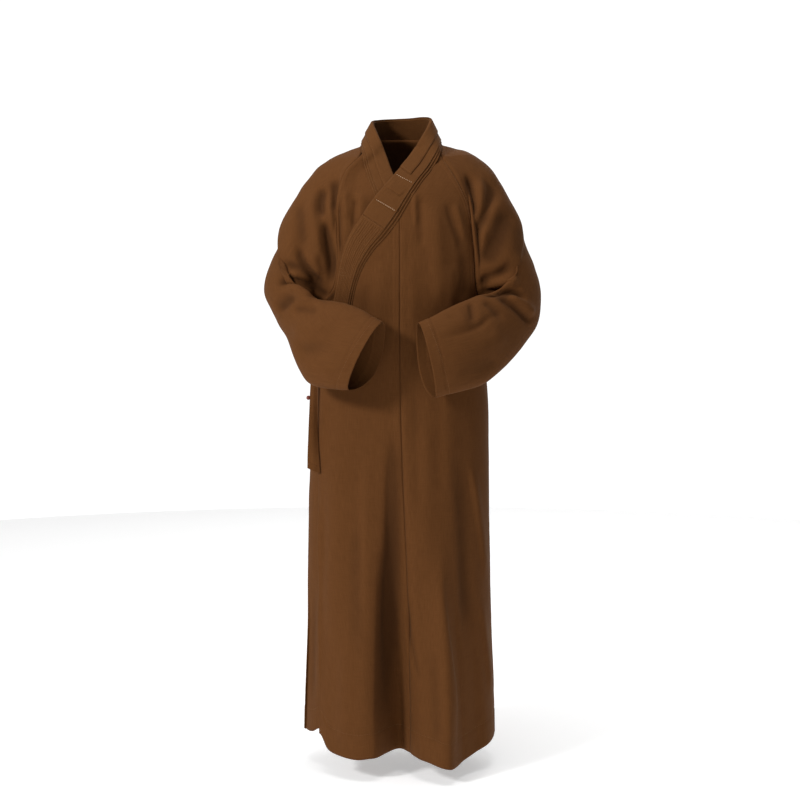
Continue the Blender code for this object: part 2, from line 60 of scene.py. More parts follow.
RAGLAN = [  # z, distance from the middle: front left, front right, back
    (0.002, 0.078, 0.074, 0.079),
    (-0.020, 0.088, 0.090, 0.093),
    (-0.058, 0.114, 0.126, 0.116),
    (-0.115, 0.145, 0.143, 0.138),
    (-0.160, 0.158, 0.144, 0.150),
    (-0.200, 0.164, 0.143, 0.158),
    (-0.260, 0.166, 0.143, 0.165),
    (-0.320, 0.169, 0.153, 0.172),
    (-0.350, 0.180, 0.178, 0.184),
    (-0.372, 0.1945, 0.1945, 0.1945),
]
FRONT_FOLDS = [     # x at the top, x at the hem, z of the top, reach right, reach left, out
    (-0.010, -0.002, -0.72, 0.062, 0.052, -0.078),
    (-0.095, -0.088, -0.70, 0.090, 0.060, 0.016),
    (0.084, 0.109, -0.80, 0.075, 0.034, 0.052),
    (0.150, 0.172, -0.90, 0.040, 0.030, -0.012),
]
BACK_FOLDS = [
    (0.000, 0.006, -0.62, 0.070, 0.060, -0.022),
    (-0.090, -0.100, -0.70, 0.050, 0.060, 0.018),
    (0.085, 0.104, -0.80, 0.055, 0.045, 0.020),
    (0.150, 0.165, -0.95, 0.030, 0.030, -0.010),
]
FRONT_HEM = [       # x, how far the front hem rises above its plain line
    (0.225, 0.000), (0.200, -0.002), (0.178, -0.006), (0.156, -0.011), (0.130, -0.016), (0.100, -0.011),
    (0.070, -0.003), (0.045, 0.002), (0.016, 0.006), (-0.030, 0.007), (-0.070, 0.006), (-0.100, 0.001),
    (-0.145, 0.002), (-0.166, 0.008), (-0.186, 0.034), (-0.205, 0.018), (-0.225, 0.004),
]
FRONT_CREASES = [   # line in the front view, half width, out (troughs < 0), sharper side
    ([(-0.012, -0.62), (-0.020, -0.75), (-0.023, -0.93), (-0.025, -1.07), (-0.024, -1.36)],
     0.0168, -0.0149, 0.3),
    ([(-0.034, -0.86), (-0.038, -1.02), (-0.043, -1.20), (-0.046, -1.36)], 0.0210, -0.0061, 0.0),
    ([(0.011, -1.00), (0.016, -1.08), (0.026, -1.15), (0.043, -1.214)], 0.0063, -0.0053, 0.4),
    ([(0.086, -0.92), (0.093, -1.04), (0.104, -1.14), (0.115, -1.25), (0.118, -1.39)], 0.0115, 0.0088, -0.3),
    ([(0.128, -0.66), (0.137, -0.82), (0.142, -0.98), (0.150, -1.14)], 0.0179, -0.0088, 0.2),
    ([(0.154, -0.70), (0.170, -0.80), (0.184, -0.91), (0.192, -1.00)], 0.0084, 0.0061, 0.3),
    ([(0.182, -1.02), (0.187, -1.09), (0.199, -1.19), (0.207, -1.27)], 0.0074, 0.0053, 0.3),
    ([(-0.140, -0.62), (-0.146, -0.80), (-0.151, -0.98), (-0.150, -1.16)], 0.0273, 0.0074, 0.0),
    ([(-0.100, -0.80), (-0.104, -0.98), (-0.100, -1.18)], 0.0231, -0.0046, 0.0),
    ([(-0.072, -0.66), (-0.078, -0.86), (-0.076, -1.10)], 0.0168, 0.0035, 0.2),
    ([(0.050, -0.60), (0.056, -0.78), (0.058, -0.98)], 0.0231, 0.0046, 0.0),
    ([(0.030, -0.52), (0.036, -0.66), (0.040, -0.84)], 0.0147, -0.0031, 0.2),
    ([(0.102, -0.50), (0.106, -0.64), (0.104, -0.80)], 0.0168, 0.0031, 0.2),
    ([(-0.172, -0.72), (-0.176, -0.92), (-0.180, -1.14), (-0.186, -1.32)], 0.0095, -0.0039, 0.3),
    ([(0.066, -1.10), (0.072, -1.24), (0.078, -1.37)], 0.0147, -0.0042, 0.2),
    ([(-0.120, -1.10), (-0.126, -1.24), (-0.130, -1.37)], 0.0189, 0.0046, 0.0),
    ([(0.029, -0.100), (0.030, -0.135), (0.033, -0.186)], 0.0068, 0.0046, 0.3),
    ([(0.042, -0.110), (0.044, -0.170), (0.046, -0.240)], 0.0105, -0.0039, 0.0),
    ([(0.070, -0.110), (0.078, -0.190), (0.086, -0.300), (0.088, -0.380)], 0.0189, 0.0056, 0.0),
    ([(0.100, -0.120), (0.112, -0.160), (0.128, -0.205), (0.140, -0.250)], 0.0105, -0.0053, 0.2),
    ([(0.118, -0.125), (0.132, -0.170), (0.146, -0.222)], 0.0084, 0.0046, 0.0),
    ([(0.136, -0.230), (0.140, -0.290), (0.134, -0.350)], 0.0105, -0.0053, 0.2),
    ([(0.108, -0.260), (0.112, -0.320), (0.108, -0.400)], 0.0147, 0.0039, 0.0),
    ([(0.020, -0.240), (0.024, -0.330), (0.022, -0.440)], 0.0147, 0.0025, 0.0),
    ([(-0.040, -0.250), (-0.046, -0.330), (-0.040, -0.430)], 0.0168, 0.0031, 0.2),
    ([(-0.072, -0.300), (-0.078, -0.360), (-0.070, -0.440)], 0.0126, -0.0029, 0.0),
]
AXIS_X = -0.0035            # the skirt hangs a little to the wearer's right
ROUNDNESS = 2.3
UNDERARM_Z = -0.372
HEM_FRONT_Z, HEM_SIDE_Z, HEM_BACK_Z = -1.378, -1.352, -1.360
MIDDLE_SEAM_SWING = 0.023
SEAM_GROOVE, SEAM_WIDTH = 0.0009, 0.0024
SEAM_LAP = 0.00005          # half the gap left between two panels at a seam
CLOTH_WALL = 0.0009
FRONT_LEFT_TOP = -0.008
CREASE_SHADE_DEPTH = 0.011         # a crease this deep gets the full painted shade in its colour
BROWN_LIT = (0.128, 0.0480, 0.0130)
BROWN_DEEP = (0.088, 0.0306, 0.0066)


def smooth(t):
    """Ease from 0 to 1, flat at both ends."""
    t = np.clip(t, 0.0, 1.0)
    return t * t * (3.0 - 2.0 * t)


def at_height(rows, z, column):
    """One column of a table keyed by falling z, with smooth slopes between its rows."""
    table = np.array(rows, dtype=float)
    depth, value = -table[:, 0], table[:, column]
    last = len(depth) - 1
    below = np.clip(-np.asarray(z, dtype=float), depth[0], depth[-1])
    k = np.clip(np.searchsorted(depth, below, side="right") - 1, 0, last - 1)
    before, after = np.maximum(np.arange(last + 1) - 1, 0), np.minimum(np.arange(last + 1) + 1, last)
    slope = (value[after] - value[before]) / (depth[after] - depth[before])
    span = depth[k + 1] - depth[k]
    t = (below - depth[k]) / span
    return ((2 * t ** 3 - 3 * t ** 2 + 1) * value[k] + (t ** 3 - 2 * t ** 2 + t) * span * slope[k]
            + (3 * t ** 2 - 2 * t ** 3) * value[k + 1] + (t ** 3 - t ** 2) * span * slope[k + 1])


def fold_out(folds, x, z):
    """How far the long skirt folds push the cloth out."""
    total = np.zeros(np.broadcast(x, z).shape)
    for x_top, x_hem, z_top, reach_right, reach_left, out in folds:
        grown = np.maximum((z_top - z) / (z_top - HEM_FRONT_Z), 0.0)
        middle = x_top + (x_hem - x_top) * grown
        reach = np.where(x > middle, reach_left, reach_right) * (0.75 + 0.25 * grown)
        total = total + out * smooth(grown) * smooth(1.0 - np.abs(x - middle) / reach)
    return total


def ring(angle, z):
    """Points of the body's rings: angle 0 is the wearer's left side, -90 degrees the front."""
    half_width, front, back = (at_height(BODY, z, column) for column in (1, 2, 3))
    c, s = np.cos(angle), np.sin(angle)
    power = 2.0 / ROUNDNESS
    x = AXIS_X + np.sign(c) * half_width * np.abs(c) ** power
    fade = np.minimum(1.0, 4.0 * np.abs(s))
    front_y = -front * np.abs(s) ** power - fold_out(FRONT_FOLDS, x, z) * fade
    back_y = back * np.abs(s) ** power + fold_out(BACK_FOLDS, x, z) * fade
    return np.stack([x, np.where(s <= 0.0, front_y, back_y), z + 0.0 * x], axis=-1)


def ring_angle(x, z):
    """Angle, from 0 to pi, at which a ring has a given x."""
    share = np.clip((x - AXIS_X) / at_height(BODY, z, 1), -1.0, 1.0)
    return np.arccos(np.sign(share) * np.abs(share) ** (ROUNDNESS / 2.0))


def hemmed(angle, z):
    """Ring points with the lowest rows moved to the shaped hem."""
    s = np.sin(angle)
    rise = at_height(FRONT_HEM, ring(angle, HEM_FRONT_Z)[..., 0], 1)
    hem = HEM_SIDE_Z + np.where(s < 0.0, (HEM_SIDE_Z - HEM_FRONT_Z) * s + rise, (HEM_BACK_Z - HEM_SIDE_Z) * s)
    lift = smooth((-1.0 - z) / (-1.0 - HEM_FRONT_Z))
    return ring(angle, z + (hem - HEM_FRONT_Z) * lift)


def middle_seam_x(z):
    """x of the seam down the middle of the outer front."""
    return AXIS_X + 0.001 + MIDDLE_SEAM_SWING * smooth((-0.40 - z) / 0.95)


def creases(x, z, rows):
    """Sum of listed creases: soft along their lines, with one side sharper than the other."""
    total = np.zeros(np.broadcast(x, z).shape)
    for line, width, out, lean in rows:
        knots = np.array(line, dtype=float)
        steps = np.linspace(0.0, len(knots) - 1.0, 6 * (len(knots) - 1) + 1)
        path = spline(knots, steps)
        best = np.full(total.shape, 1e9)
        side, place = np.zeros(total.shape), np.zeros(total.shape)
        for k in range(len(path) - 1):
            ax, az = path[k]
            bx, bz = path[k + 1] - path[k]
            t = np.clip(((x - ax) * bx + (z - az) * bz) / (bx * bx + bz * bz), 0.0, 1.0)
            dx, dz = x - ax - t * bx, z - az - t * bz
            far = dx * dx + dz * dz
            nearer = far < best
            best = np.where(nearer, far, best)
            side = np.where(nearer, np.sign(dx * -bz + dz * bx), side)
            place = np.where(nearer, (k + t) / (len(path) - 1), place)
        reach = width * (1.0 + lean * side)
        taper = smooth(place / 0.28) * smooth((1.0 - place) / 0.28)
        total = total + out * taper * np.exp(-best / (reach * reach))
    return total


def spline(knots, place):
    """Catmull-Rom curve through rows of numbers, at fractional places along them."""
    rows = np.asarray(knots, dtype=float)
    last = len(rows) - 1
    padded = np.vstack([2 * rows[0] - rows[1], rows, 2 * rows[-1] - rows[-2]])
    place = np.clip(np.asarray(place, dtype=float), 0.0, last)
    k = np.minimum(place.astype(int), last - 1)
    t = (place - k)[..., None]
    a, b, c, d = padded[k], padded[k + 1], padded[k + 2], padded[k + 3]
    return 0.5 * (2 * b + (c - a) * t + (2 * a - 5 * b + 4 * c - d) * t ** 2
                  + (3 * b - a - 3 * c + d) * t ** 3)


def hills(u, v, size_u, size_v, seed):
    """Soft random hills between about -1 and 1, with their own sizes both ways."""
    heights = np.random.RandomState(seed).uniform(-1.0, 1.0, (64, 64))
    a, b = u / size_u + 17.0, v / size_v + 41.0
    i, j = np.floor(a).astype(int), np.floor(b).astype(int)
    s, t = smooth(a - i), smooth(b - j)
    i0, i1, j0, j1 = i % 64, (i + 1) % 64, j % 64, (j + 1) % 64
    return ((heights[i0, j0] * (1 - s) + heights[i1, j0] * s) * (1 - t)
            + (heights[i0, j1] * (1 - s) + heights[i1, j1] * s) * t)


def outward(points, centres, wrapped=False):
    """Unit normals of a grid of points, on the side away from the centres."""
    if wrapped:
        round_grid = np.concatenate([points[:, -2:-1], points, points[:, 1:2]], axis=1)
        across = round_grid[:, 2:] - round_grid[:, :-2]
    else:
        across = np.gradient(points, axis=1)
    normal = np.cross(across, np.gradient(points, axis=0))
    normal /= np.maximum(np.linalg.norm(normal, axis=-1, keepdims=True), 1e-9)
    return normal * (1.0 if np.sum(normal * (points - centres)) > 0.0 else -1.0)


def front_drape(x, z):
    """How far the creases of the outer front stand off its plain form."""
    lean = 0.05 * (z + 0.4)
    out = (creases(x, z, FRONT_CREASES) + 0.0011 * hills(x + lean, z, 0.045, 0.30, 3)
           + 0.0005 * hills(x, z, 0.020, 0.11, 4) + 0.00025 * hills(x, z, 0.012, 0.018, 5))
    room = 0.0068 + 0.022 * smooth((-0.70 - z) / 0.60)
    return np.where(out < 0.0, -room * np.tanh(-out / room), out)


def cloth(name, points, colours, wrapped=False, wall=CLOTH_WALL, push=None):
    """A thin shell of cloth through a grid of points. Its map "cut" is in metres of flat cloth,
    and a point attribute from push says how far a point lies down in a crease, for painted shade."""
    rows, columns = points.shape[:2]
    u = np.zeros((rows, columns))
    v = np.zeros((rows, columns))
    u[:, 1:] = np.cumsum(np.linalg.norm(np.diff(points, axis=1), axis=-1), axis=1)
    v[1:] = np.cumsum(np.linalg.norm(np.diff(points, axis=0), axis=-1).mean(axis=1))[:, None]
    used = columns - 1 if wrapped else columns
    index = np.arange(rows * used).reshape(rows, used)
    if wrapped:
        index = np.concatenate([index, index[:, :1]], axis=1)
    corners = (slice(None, -1), slice(1, None))
    picks = [(corners[0], corners[0]), (corners[1], corners[0]), (corners[1], corners[1]),
             (corners[0], corners[1])]
    quads = np.stack([index[p] for p in picks], axis=-1).reshape(-1, 4)
    mesh = bpy.data.meshes.new(name)
    mesh.from_pydata(points[:, :used].reshape(-1, 3).tolist(), [], quads.tolist())
    cut = mesh.uv_layers.new(name="cut")
    flat = np.stack([np.stack([grid[p] for p in picks], axis=-1).reshape(-1) for grid in (u, v)], axis=-1)
    cut.data.foreach_set("uv", flat.reshape(-1))
    if push is not None:
        # Painted shade: the deeper a point lies in a crease, the darker the material paints its colour.
        crease_shade = mesh.attributes.new("crease_shade", "FLOAT", "POINT")
        crease_shade.data.foreach_set("value", smooth(-push[:, :used] / CREASE_SHADE_DEPTH).reshape(-1))
    mesh.shade_smooth()
    piece = bpy.data.objects.new(name, mesh)
    bpy.context.scene.collection.objects.link(piece)
    shell = piece.modifiers.new("wall", "SOLIDIFY")
    shell.thickness, shell.offset = wall, 0.0
    mesh.materials.append(cloth_material(name, *colours))
    return piece


def node(tree, kind, **settings):
    """A shader node with its settings; input values are given as in_<number>."""
    made = tree.nodes.new(kind)
    for key, value in settings.items():
        if key.startswith("in_"):
            made.inputs[int(key[3:])].default_value = value
        else:
            setattr(made, key, value)
    return made


def plain_weave():
    """Shader group: threads over and under with uneven slubs, as a shade mask and a height."""
    group = bpy.data.node_groups.new("plain_weave", "ShaderNodeTree")
    face = group.interface
    for label, value in (("Threads per metre", 900.0), ("Slub length", 0.030), ("Slub strength", 0.5)):
        face.new_socket(label, in_out="INPUT", socket_type="NodeSocketFloat").default_value = value
    for label in ("Shade", "Height"):
        face.new_socket(label, in_out="OUTPUT", socket_type="NodeSocketFloat")
    given, result = group.nodes.new("NodeGroupInput"), group.nodes.new("NodeGroupOutput")
    place = node(group, "ShaderNodeUVMap", uv_map="cut")
    parts = group.nodes.new("ShaderNodeSeparateXYZ")
    group.links.new(place.outputs[0], parts.inputs[0])

    def math_of(operation, first, second):
        made = node(group, "ShaderNodeMath", operation=operation)
        for socket, value in ((0, first), (1, second)):
            if isinstance(value, (int, float)):
                made.inputs[socket].default_value = value
            elif value is not None:
                group.links.new(value, made.inputs[socket])
        return made.outputs[0]

    turn = math_of("MULTIPLY", given.outputs["Threads per metre"], math.pi)
    over = math_of("SINE", math_of("MULTIPLY", parts.outputs[0], turn), None)
    under = math_of("SINE", math_of("MULTIPLY", parts.outputs[1], turn), None)
    threads = math_of("ABSOLUTE", math_of("MULTIPLY", over, under), None)
    slubs = []
    for narrow, long in ((0, 1), (1, 0)):
        stretched = group.nodes.new("ShaderNodeCombineXYZ")
        fine = math_of("MULTIPLY", parts.outputs[narrow], 620.0)
        slow = math_of("DIVIDE", parts.outputs[long], given.outputs["Slub length"])
        group.links.new(fine, stretched.inputs[0])
        group.links.new(slow, stretched.inputs[1])
        noise = node(group, "ShaderNodeTexNoise", noise_dimensions="2D", in_2=1.0, in_3=1.0)
        group.links.new(stretched.outputs[0], noise.inputs["Vector"])
        slubs.append(noise.outputs[0])
    streaks = math_of("ADD", math_of("MULTIPLY", slubs[0], 0.65), math_of("MULTIPLY", slubs[1], 0.35))
    centred = math_of("MULTIPLY", math_of("SUBTRACT", streaks, 0.5), given.outputs["Slub strength"])
    shade = math_of("ADD", math_of("MULTIPLY", centred, 2.4), 0.5)
    height = math_of("ADD", math_of("MULTIPLY", threads, 0.3), centred)
    group.links.new(shade, result.inputs["Shade"])
    group.links.new(height, result.inputs["Height"])
    return group


def cloth_material(name, lit, deep, roughness=0.88, slub_strength=0.5):
    """Brown cotton: two browns mixed by the weave, matte, with a little nap, and painted shade that darkens the
    colour in creases.
    """
    material = bpy.data.materials.new(name + "_cotton")
    material.use_nodes = True
    tree = material.node_tree
    shader = tree.nodes["Principled BSDF"]
    weave = node(tree, "ShaderNodeGroup", node_tree=bpy.data.node_groups["plain_weave"])
    weave.inputs["Slub strength"].default_value = slub_strength
    mix = node(tree, "ShaderNodeMix", data_type="RGBA")
    mix.inputs[6].default_value, mix.inputs[7].default_value = (*deep, 1.0), (*lit, 1.0)
    tree.links.new(weave.outputs["Shade"], mix.inputs[0])
    # Painted shade in creases: the crease attribute darkens the base colour, by up to 0.62, towards 0.38 of the
    # deep brown.
    crease_shade_attribute = node(tree, "ShaderNodeAttribute", attribute_name="crease_shade")
    share = node(tree, "ShaderNodeMath", operation="MULTIPLY", in_1=0.62)
    painted_crease_mix = node(tree, "ShaderNodeMix", data_type="RGBA")
    painted_crease_mix.inputs[7].default_value = (*(0.38 * value for value in deep), 1.0)
    tree.links.new(crease_shade_attribute.outputs["Fac"], share.inputs[0])
    tree.links.new(share.outputs[0], painted_crease_mix.inputs[0])
    tree.links.new(mix.outputs[2], painted_crease_mix.inputs[6])
    tree.links.new(painted_crease_mix.outputs[2], shader.inputs["Base Color"])
    bump = node(tree, "ShaderNodeBump")
    bump.inputs["Strength"].default_value = 0.35
    bump.inputs["Distance"].default_value = 0.0004
    tree.links.new(weave.outputs["Height"], bump.inputs["Height"])
    tree.links.new(bump.outputs[0], shader.inputs["Normal"])
    shader.inputs["Roughness"].default_value = roughness
    shader.inputs["Specular IOR Level"].default_value = 0.12
    shader.inputs["Sheen Weight"].default_value = 0.04
    shader.inputs["Sheen Roughness"].default_value = 0.45
    shader.inputs["Sheen Tint"].default_value = (0.90, 0.55, 0.28, 1.0)
    return material


def grid(columns, rows):
    """Shares across and down for a grid of points."""
    return np.meshgrid(np.linspace(0.0, 1.0, columns + 1), np.linspace(0.0, 1.0, rows + 1))


def panel_rows(down, top, above):
    """Heights of a panel's rows before its hem is shaped; the share above ends at the underarm."""
    return np.where(down <= above, top + (UNDERARM_Z - top) * down / above,
                    UNDERARM_Z + (HEM_FRONT_Z - UNDERARM_Z) * (down - above) / (1.0 - above))


def seam_groove(distance):
    """A seam sinks into a narrow groove, with its allowance raised a little beside it."""
    return (-SEAM_GROOVE * np.exp(-(distance / SEAM_WIDTH) ** 2)
            + 0.0006 * smooth(distance / 0.003) * smooth((0.016 - distance) / 0.004))


def turned_hem(points, depth):
    """A hem is turned up double: a little thicker below its line of stitching."""
    length = np.linalg.norm(np.diff(points, axis=0), axis=-1)
    from_edge = np.vstack([np.cumsum(length[::-1], axis=0)[::-1], np.zeros((1, points.shape[1]))])
    stitch_line = np.exp(-((from_edge - depth) / 0.0022) ** 2)
    return 0.0005 * smooth((depth - from_edge) / 0.004) - 0.0009 * stitch_line


HEM_DEPTH, CUFF_DEPTH = 0.056, 0.027
plain_weave()
BROWNS = (BROWN_LIT, BROWN_DEEP)
BAND_UNDER = [      # x of the collar's covered edge by falling z, where the left front tucks in
    (-0.008, 0.074), (-0.036, 0.064), (-0.060, 0.052), (-0.086, 0.034),
    (-0.127, 0.008), (-0.160, -0.010), (-0.200, -0.040),
]


def front_left():
    across, down = grid(112, 240)
    z = panel_rows(down, FRONT_LEFT_TOP, 0.33)
    inner_x = np.maximum(middle_seam_x(z) + SEAM_LAP, np.where(z > -0.20, at_height(BAND_UNDER, z, 1), -1.0))
    start = -ring_angle(inner_x, z)
    stop = np.where(z > UNDERARM_Z, -ring_angle(at_height(RAGLAN, z, 1) - SEAM_LAP, z), -0.0002)
    points = hemmed(start + (stop - start) * across, z)
    plain = points.copy()
    push = front_drape(plain[..., 0], plain[..., 2])
    push *= smooth((1.0 - across) / 0.05)
    push += np.where(z < -0.19, seam_groove(plain[..., 0] - middle_seam_x(z)), 0.0)
    push += seam_groove((1.0 - across) * np.abs(stop - start) * 0.18) + turned_hem(plain, HEM_DEPTH)
    centres = plain * np.array([0.0, 0.0, 1.0]) + np.array([AXIS_X, 0.0, 0.0])
    return plain + outward(plain, centres) * push[..., None], push


front_left_points, front_left_push = front_left()
front_left_cloth = cloth("outer_front_left", front_left_points, BROWNS, push=front_left_push)
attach(front_left_cloth, "root")
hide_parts("front_left")

# ------------------------------------------------------------ outer front, wearer's right
# The other half of the outer front, sewn to the left half at the middle seam. Its top runs
# under the collar band, and its free edge hangs at the right side over the inner front.
FREE_EDGE_X = -0.188
OVERLAP_TOP = -0.152
BAND_UNDER_RIGHT = [    # x of the collar's covered edge by falling z, where this half tucks in
    (-0.152, -0.012), (-0.172, -0.030), (-0.203, -0.058),
    (-0.232, -0.083), (-0.268, -0.103), (-0.303, -0.114),
    (-0.338, -0.122), (-0.385, -0.131), (-0.405, -0.138),
]


def front_right():
    across, down = grid(100, 220)
    z = panel_rows(down, OVERLAP_TOP, 0.26)
    edge = at_height(BAND_UNDER_RIGHT, z, 1)
    edge = edge + (FREE_EDGE_X - edge) * smooth((-0.38 - z) / 0.12)
    start, stop = -ring_angle(middle_seam_x(z) - SEAM_LAP, z), -ring_angle(edge, z)
    plain = hemmed(start + (stop - start) * across, z)
    push = front_drape(plain[..., 0], plain[..., 2])
    push += seam_groove(middle_seam_x(z) - plain[..., 0]) + turned_hem(plain, HEM_DEPTH)
    push += 0.0030 * smooth((across - 0.86) / 0.14) * hills(across * 0.0, z, 1.0, 0.10, 8)
    centres = plain * np.array([0.0, 0.0, 1.0]) + np.array([AXIS_X, 0.0, 0.0])
    return plain + outward(plain, centres) * push[..., None], push


front_right_points, front_right_push = front_right()
front_right_cloth = cloth("outer_front_right", front_right_points, BROWNS, push=front_right_push)
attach(front_right_cloth, "root")
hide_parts("front_overlap")

# ------------------------------------------------------------ inner front
# The under layer, from the right raglan and side seams across to its hidden edge at the
# left. It shows on the right of the chest and as a strip beyond the outer front's free edge.
INNER_TOP = -0.008
INNER_DEPTH, INNER_HEM_DEPTH = 0.0105, 0.030
INNER_EDGE_X = 0.112
INNER_UNDER_BAND = [    # x of the collar's covered edge by falling z on this side
    (-0.008, -0.074), (-0.036, -0.070), (-0.060, -0.067), (-0.092, -0.060),
    (-0.136, -0.041), (-0.178, -0.014), (-0.200, 0.000),
]
INNER_CREASES = [
    ([(-0.100, -0.110), (-0.104, -0.150), (-0.108, -0.195)], 0.0077, -0.0052, 0.3),
    ([(-0.088, -0.100), (-0.092, -0.140), (-0.094, -0.180)], 0.0099, 0.0036, 0.0),
    ([(-0.122, -0.090), (-0.124, -0.130), (-0.122, -0.170)], 0.0099, 0.0044, 0.2),
    ([(-0.134, -0.110), (-0.136, -0.180), (-0.132, -0.260)], 0.0066, -0.0052, 0.2),
    ([(-0.070, -0.110), (-0.066, -0.160), (-0.060, -0.200)], 0.0110, -0.0026, 0.2),
    ([(-0.206, -0.70), (-0.209, -0.90), (-0.212, -1.12)], 0.0110, 0.0046, 0.2),
    ([(-0.200, -0.95), (-0.204, -1.14), (-0.208, -1.32)], 0.0088, -0.0052, 0.2),
]


def front_inner():
    across, down = grid(90, 210)
    z = panel_rows(down, INNER_TOP, 0.36)
    start = np.where(z > UNDERARM_Z, -ring_angle(-at_height(RAGLAN, z, 2) + SEAM_LAP, z), -math.pi + 0.0002)
    edge = at_height(INNER_UNDER_BAND, z, 1)
    edge = edge + (INNER_EDGE_X - edge) * smooth((-0.20 - z) / 0.25)
    stop = -ring_angle(edge, z)
    plain = hemmed(start + (stop - start) * across, z)
    behind = INNER_DEPTH + INNER_HEM_DEPTH * smooth((-0.70 - z) / 0.60)
    plain[..., 1] += behind * smooth(across * np.abs(stop - start) / 0.25)
    x, height = plain[..., 0], plain[..., 2]
    push = creases(x, height, INNER_CREASES) + 0.0008 * hills(x, height, 0.04, 0.2, 12)
    push *= smooth(across / 0.06)
    push += seam_groove(across * np.abs(stop - start) * 0.18) + turned_hem(plain, HEM_DEPTH)
    centres = plain * np.array([0.0, 0.0, 1.0]) + np.array([AXIS_X, 0.0, 0.0])
    return plain + outward(plain, centres) * push[..., None], push


front_inner_points, front_inner_push = front_inner()
front_inner_cloth = cloth("inner_front", front_inner_points, BROWNS, push=front_inner_push)
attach(front_inner_cloth, "root")
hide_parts("front_inner")

# ------------------------------------------------------------ back
# One panel of the same cloth from raglan to raglan and side to side, with long soft folds
# from the shoulder blades down. It hangs from the collar and both sleeves.
BACK_TOP = 0.019
TOP_LEAN = 0.0030           # its top edge leans in under the collar band
BACK_CREASES = [
    ([(0.000, -0.26), (0.004, -0.48), (0.002, -0.74), (0.006, -1.05)], 0.0220, -0.0093, 0.2),
    ([(-0.060, -0.20), (-0.066, -0.40), (-0.074, -0.66), (-0.082, -1.00)], 0.0160, 0.0082, 0.2),
    ([(0.058, -0.22), (0.066, -0.46), (0.078, -0.76), (0.090, -1.12)], 0.0180, 0.0085, -0.2),
    ([(-0.104, -0.16), (-0.112, -0.26), (-0.118, -0.40)], 0.0100, -0.0073, 0.3),
    ([(0.104, -0.15), (0.116, -0.28), (0.120, -0.44)], 0.0110, -0.0078, -0.3),
    ([(-0.130, -0.50), (-0.136, -0.74), (-0.146, -1.06), (-0.150, -1.32)], 0.0130, -0.0090, 0.2),
    ([(0.132, -0.46), (0.140, -0.72), (0.146, -1.00), (0.154, -1.34)], 0.0120, -0.0082, 0.2),
    ([(-0.030, -0.84), (-0.036, -1.06), (-0.044, -1.36)], 0.0140, 0.0099, 0.3),
    ([(0.036, -0.90), (0.042, -1.12), (0.050, -1.36)], 0.0120, 0.0082, -0.2),
    ([(-0.110, -1.00), (-0.118, -1.18), (-0.122, -1.36)], 0.0120, 0.0078, 0.2),
    ([(-0.176, -0.60), (-0.182, -0.86), (-0.188, -1.16)], 0.0100, 0.0073, 0.2),
    ([(0.176, -0.64), (0.184, -0.92), (0.190, -1.24)], 0.0100, 0.0070, 0.2),
    ([(-0.080, -0.030), (-0.090, -0.075), (-0.092, -0.130)], 0.0090, 0.0044, 0.2),
    ([(0.080, -0.030), (0.088, -0.080), (0.094, -0.140)], 0.0090, 0.0049, 0.2),
    ([(-0.150, -0.30), (-0.120, -0.335), (-0.090, -0.36)], 0.0120, -0.0053, 0.2),
    ([(0.156, -0.29), (0.128, -0.330), (0.094, -0.352)], 0.0130, -0.0058, 0.2),
]


def back():
    across, down = grid(130, 225)
    z = panel_rows(down, BACK_TOP, 0.34)
    reach = at_height(RAGLAN, z, 3) - SEAM_LAP
    start = np.where(z > UNDERARM_Z, ring_angle(reach, z), 0.0002)
    stop = np.where(z > UNDERARM_Z, ring_angle(-reach, z), math.pi - 0.0002)
    plain = hemmed(start + (stop - start) * across, z)
    plain[..., 1] -= TOP_LEAN * smooth((plain[..., 2] + 0.004) / 0.016)
    x, height = plain[..., 0], plain[..., 2]
    push = creases(x, height, BACK_CREASES) + 0.0012 * hills(x, height, 0.05, 0.28, 21)
    push += 0.0005 * hills(x, height, 0.02, 0.10, 22)
    from_edge = np.minimum(across, 1.0 - across)
    push *= smooth(from_edge / 0.04)
    push += seam_groove(from_edge * np.abs(stop - start) * 0.18) + turned_hem(plain, HEM_DEPTH)
    centres = plain * np.array([0.0, 0.0, 1.0]) + np.array([AXIS_X, 0.0, 0.0])
    return plain + outward(plain, centres) * push[..., None], push


back_points, back_push = back()
# On the back the painted crease shade is weakened to 0.55 of the creases' depth.
back_cloth = cloth("back_panel", back_points, BROWNS, push=0.55 * back_push)
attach(back_cloth, "root")
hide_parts("back")

# ------------------------------------------------------------ sleeves
# Wide raglan sleeves of the same cloth, bent forward at the elbow so that both cuffs hang
# open near the middle. Each is sewn to the panels along its raglan seams.
SLEEVE_LEFT = [     # elbow-side point, crook-side point, half thickness, drop of the inner wall
    (0.150, 0.012, -0.007, 0.198, -0.014, -0.369, 0.104, 0.000),
    (0.204, 0.018, -0.050, 0.199, -0.031, -0.365, 0.094, 0.030),
    (0.238, 0.028, -0.120, 0.197, -0.048, -0.360, 0.086, 0.045),
    (0.260, 0.038, -0.200, 0.192, -0.065, -0.354, 0.078, 0.050),
    (0.291, 0.040, -0.280, 0.184, -0.082, -0.347, 0.070, 0.045),
    (0.311, 0.022, -0.350, 0.174, -0.098, -0.341, 0.062, 0.035),
    (0.304, -0.018, -0.410, 0.162, -0.114, -0.338, 0.055, 0.025),
    (0.269, -0.065, -0.455, 0.147, -0.134, -0.343, 0.049, 0.012),
    (0.226, -0.112, -0.498, 0.125, -0.155, -0.352, 0.044, 0.000),
    (0.185, -0.150, -0.529, 0.098, -0.173, -0.364, 0.040, 0.000),
    (0.135, -0.180, -0.543, 0.068, -0.188, -0.379, 0.037, 0.000),
    (0.074, -0.196, -0.556, 0.038, -0.196, -0.392, 0.037, 0.000),
]
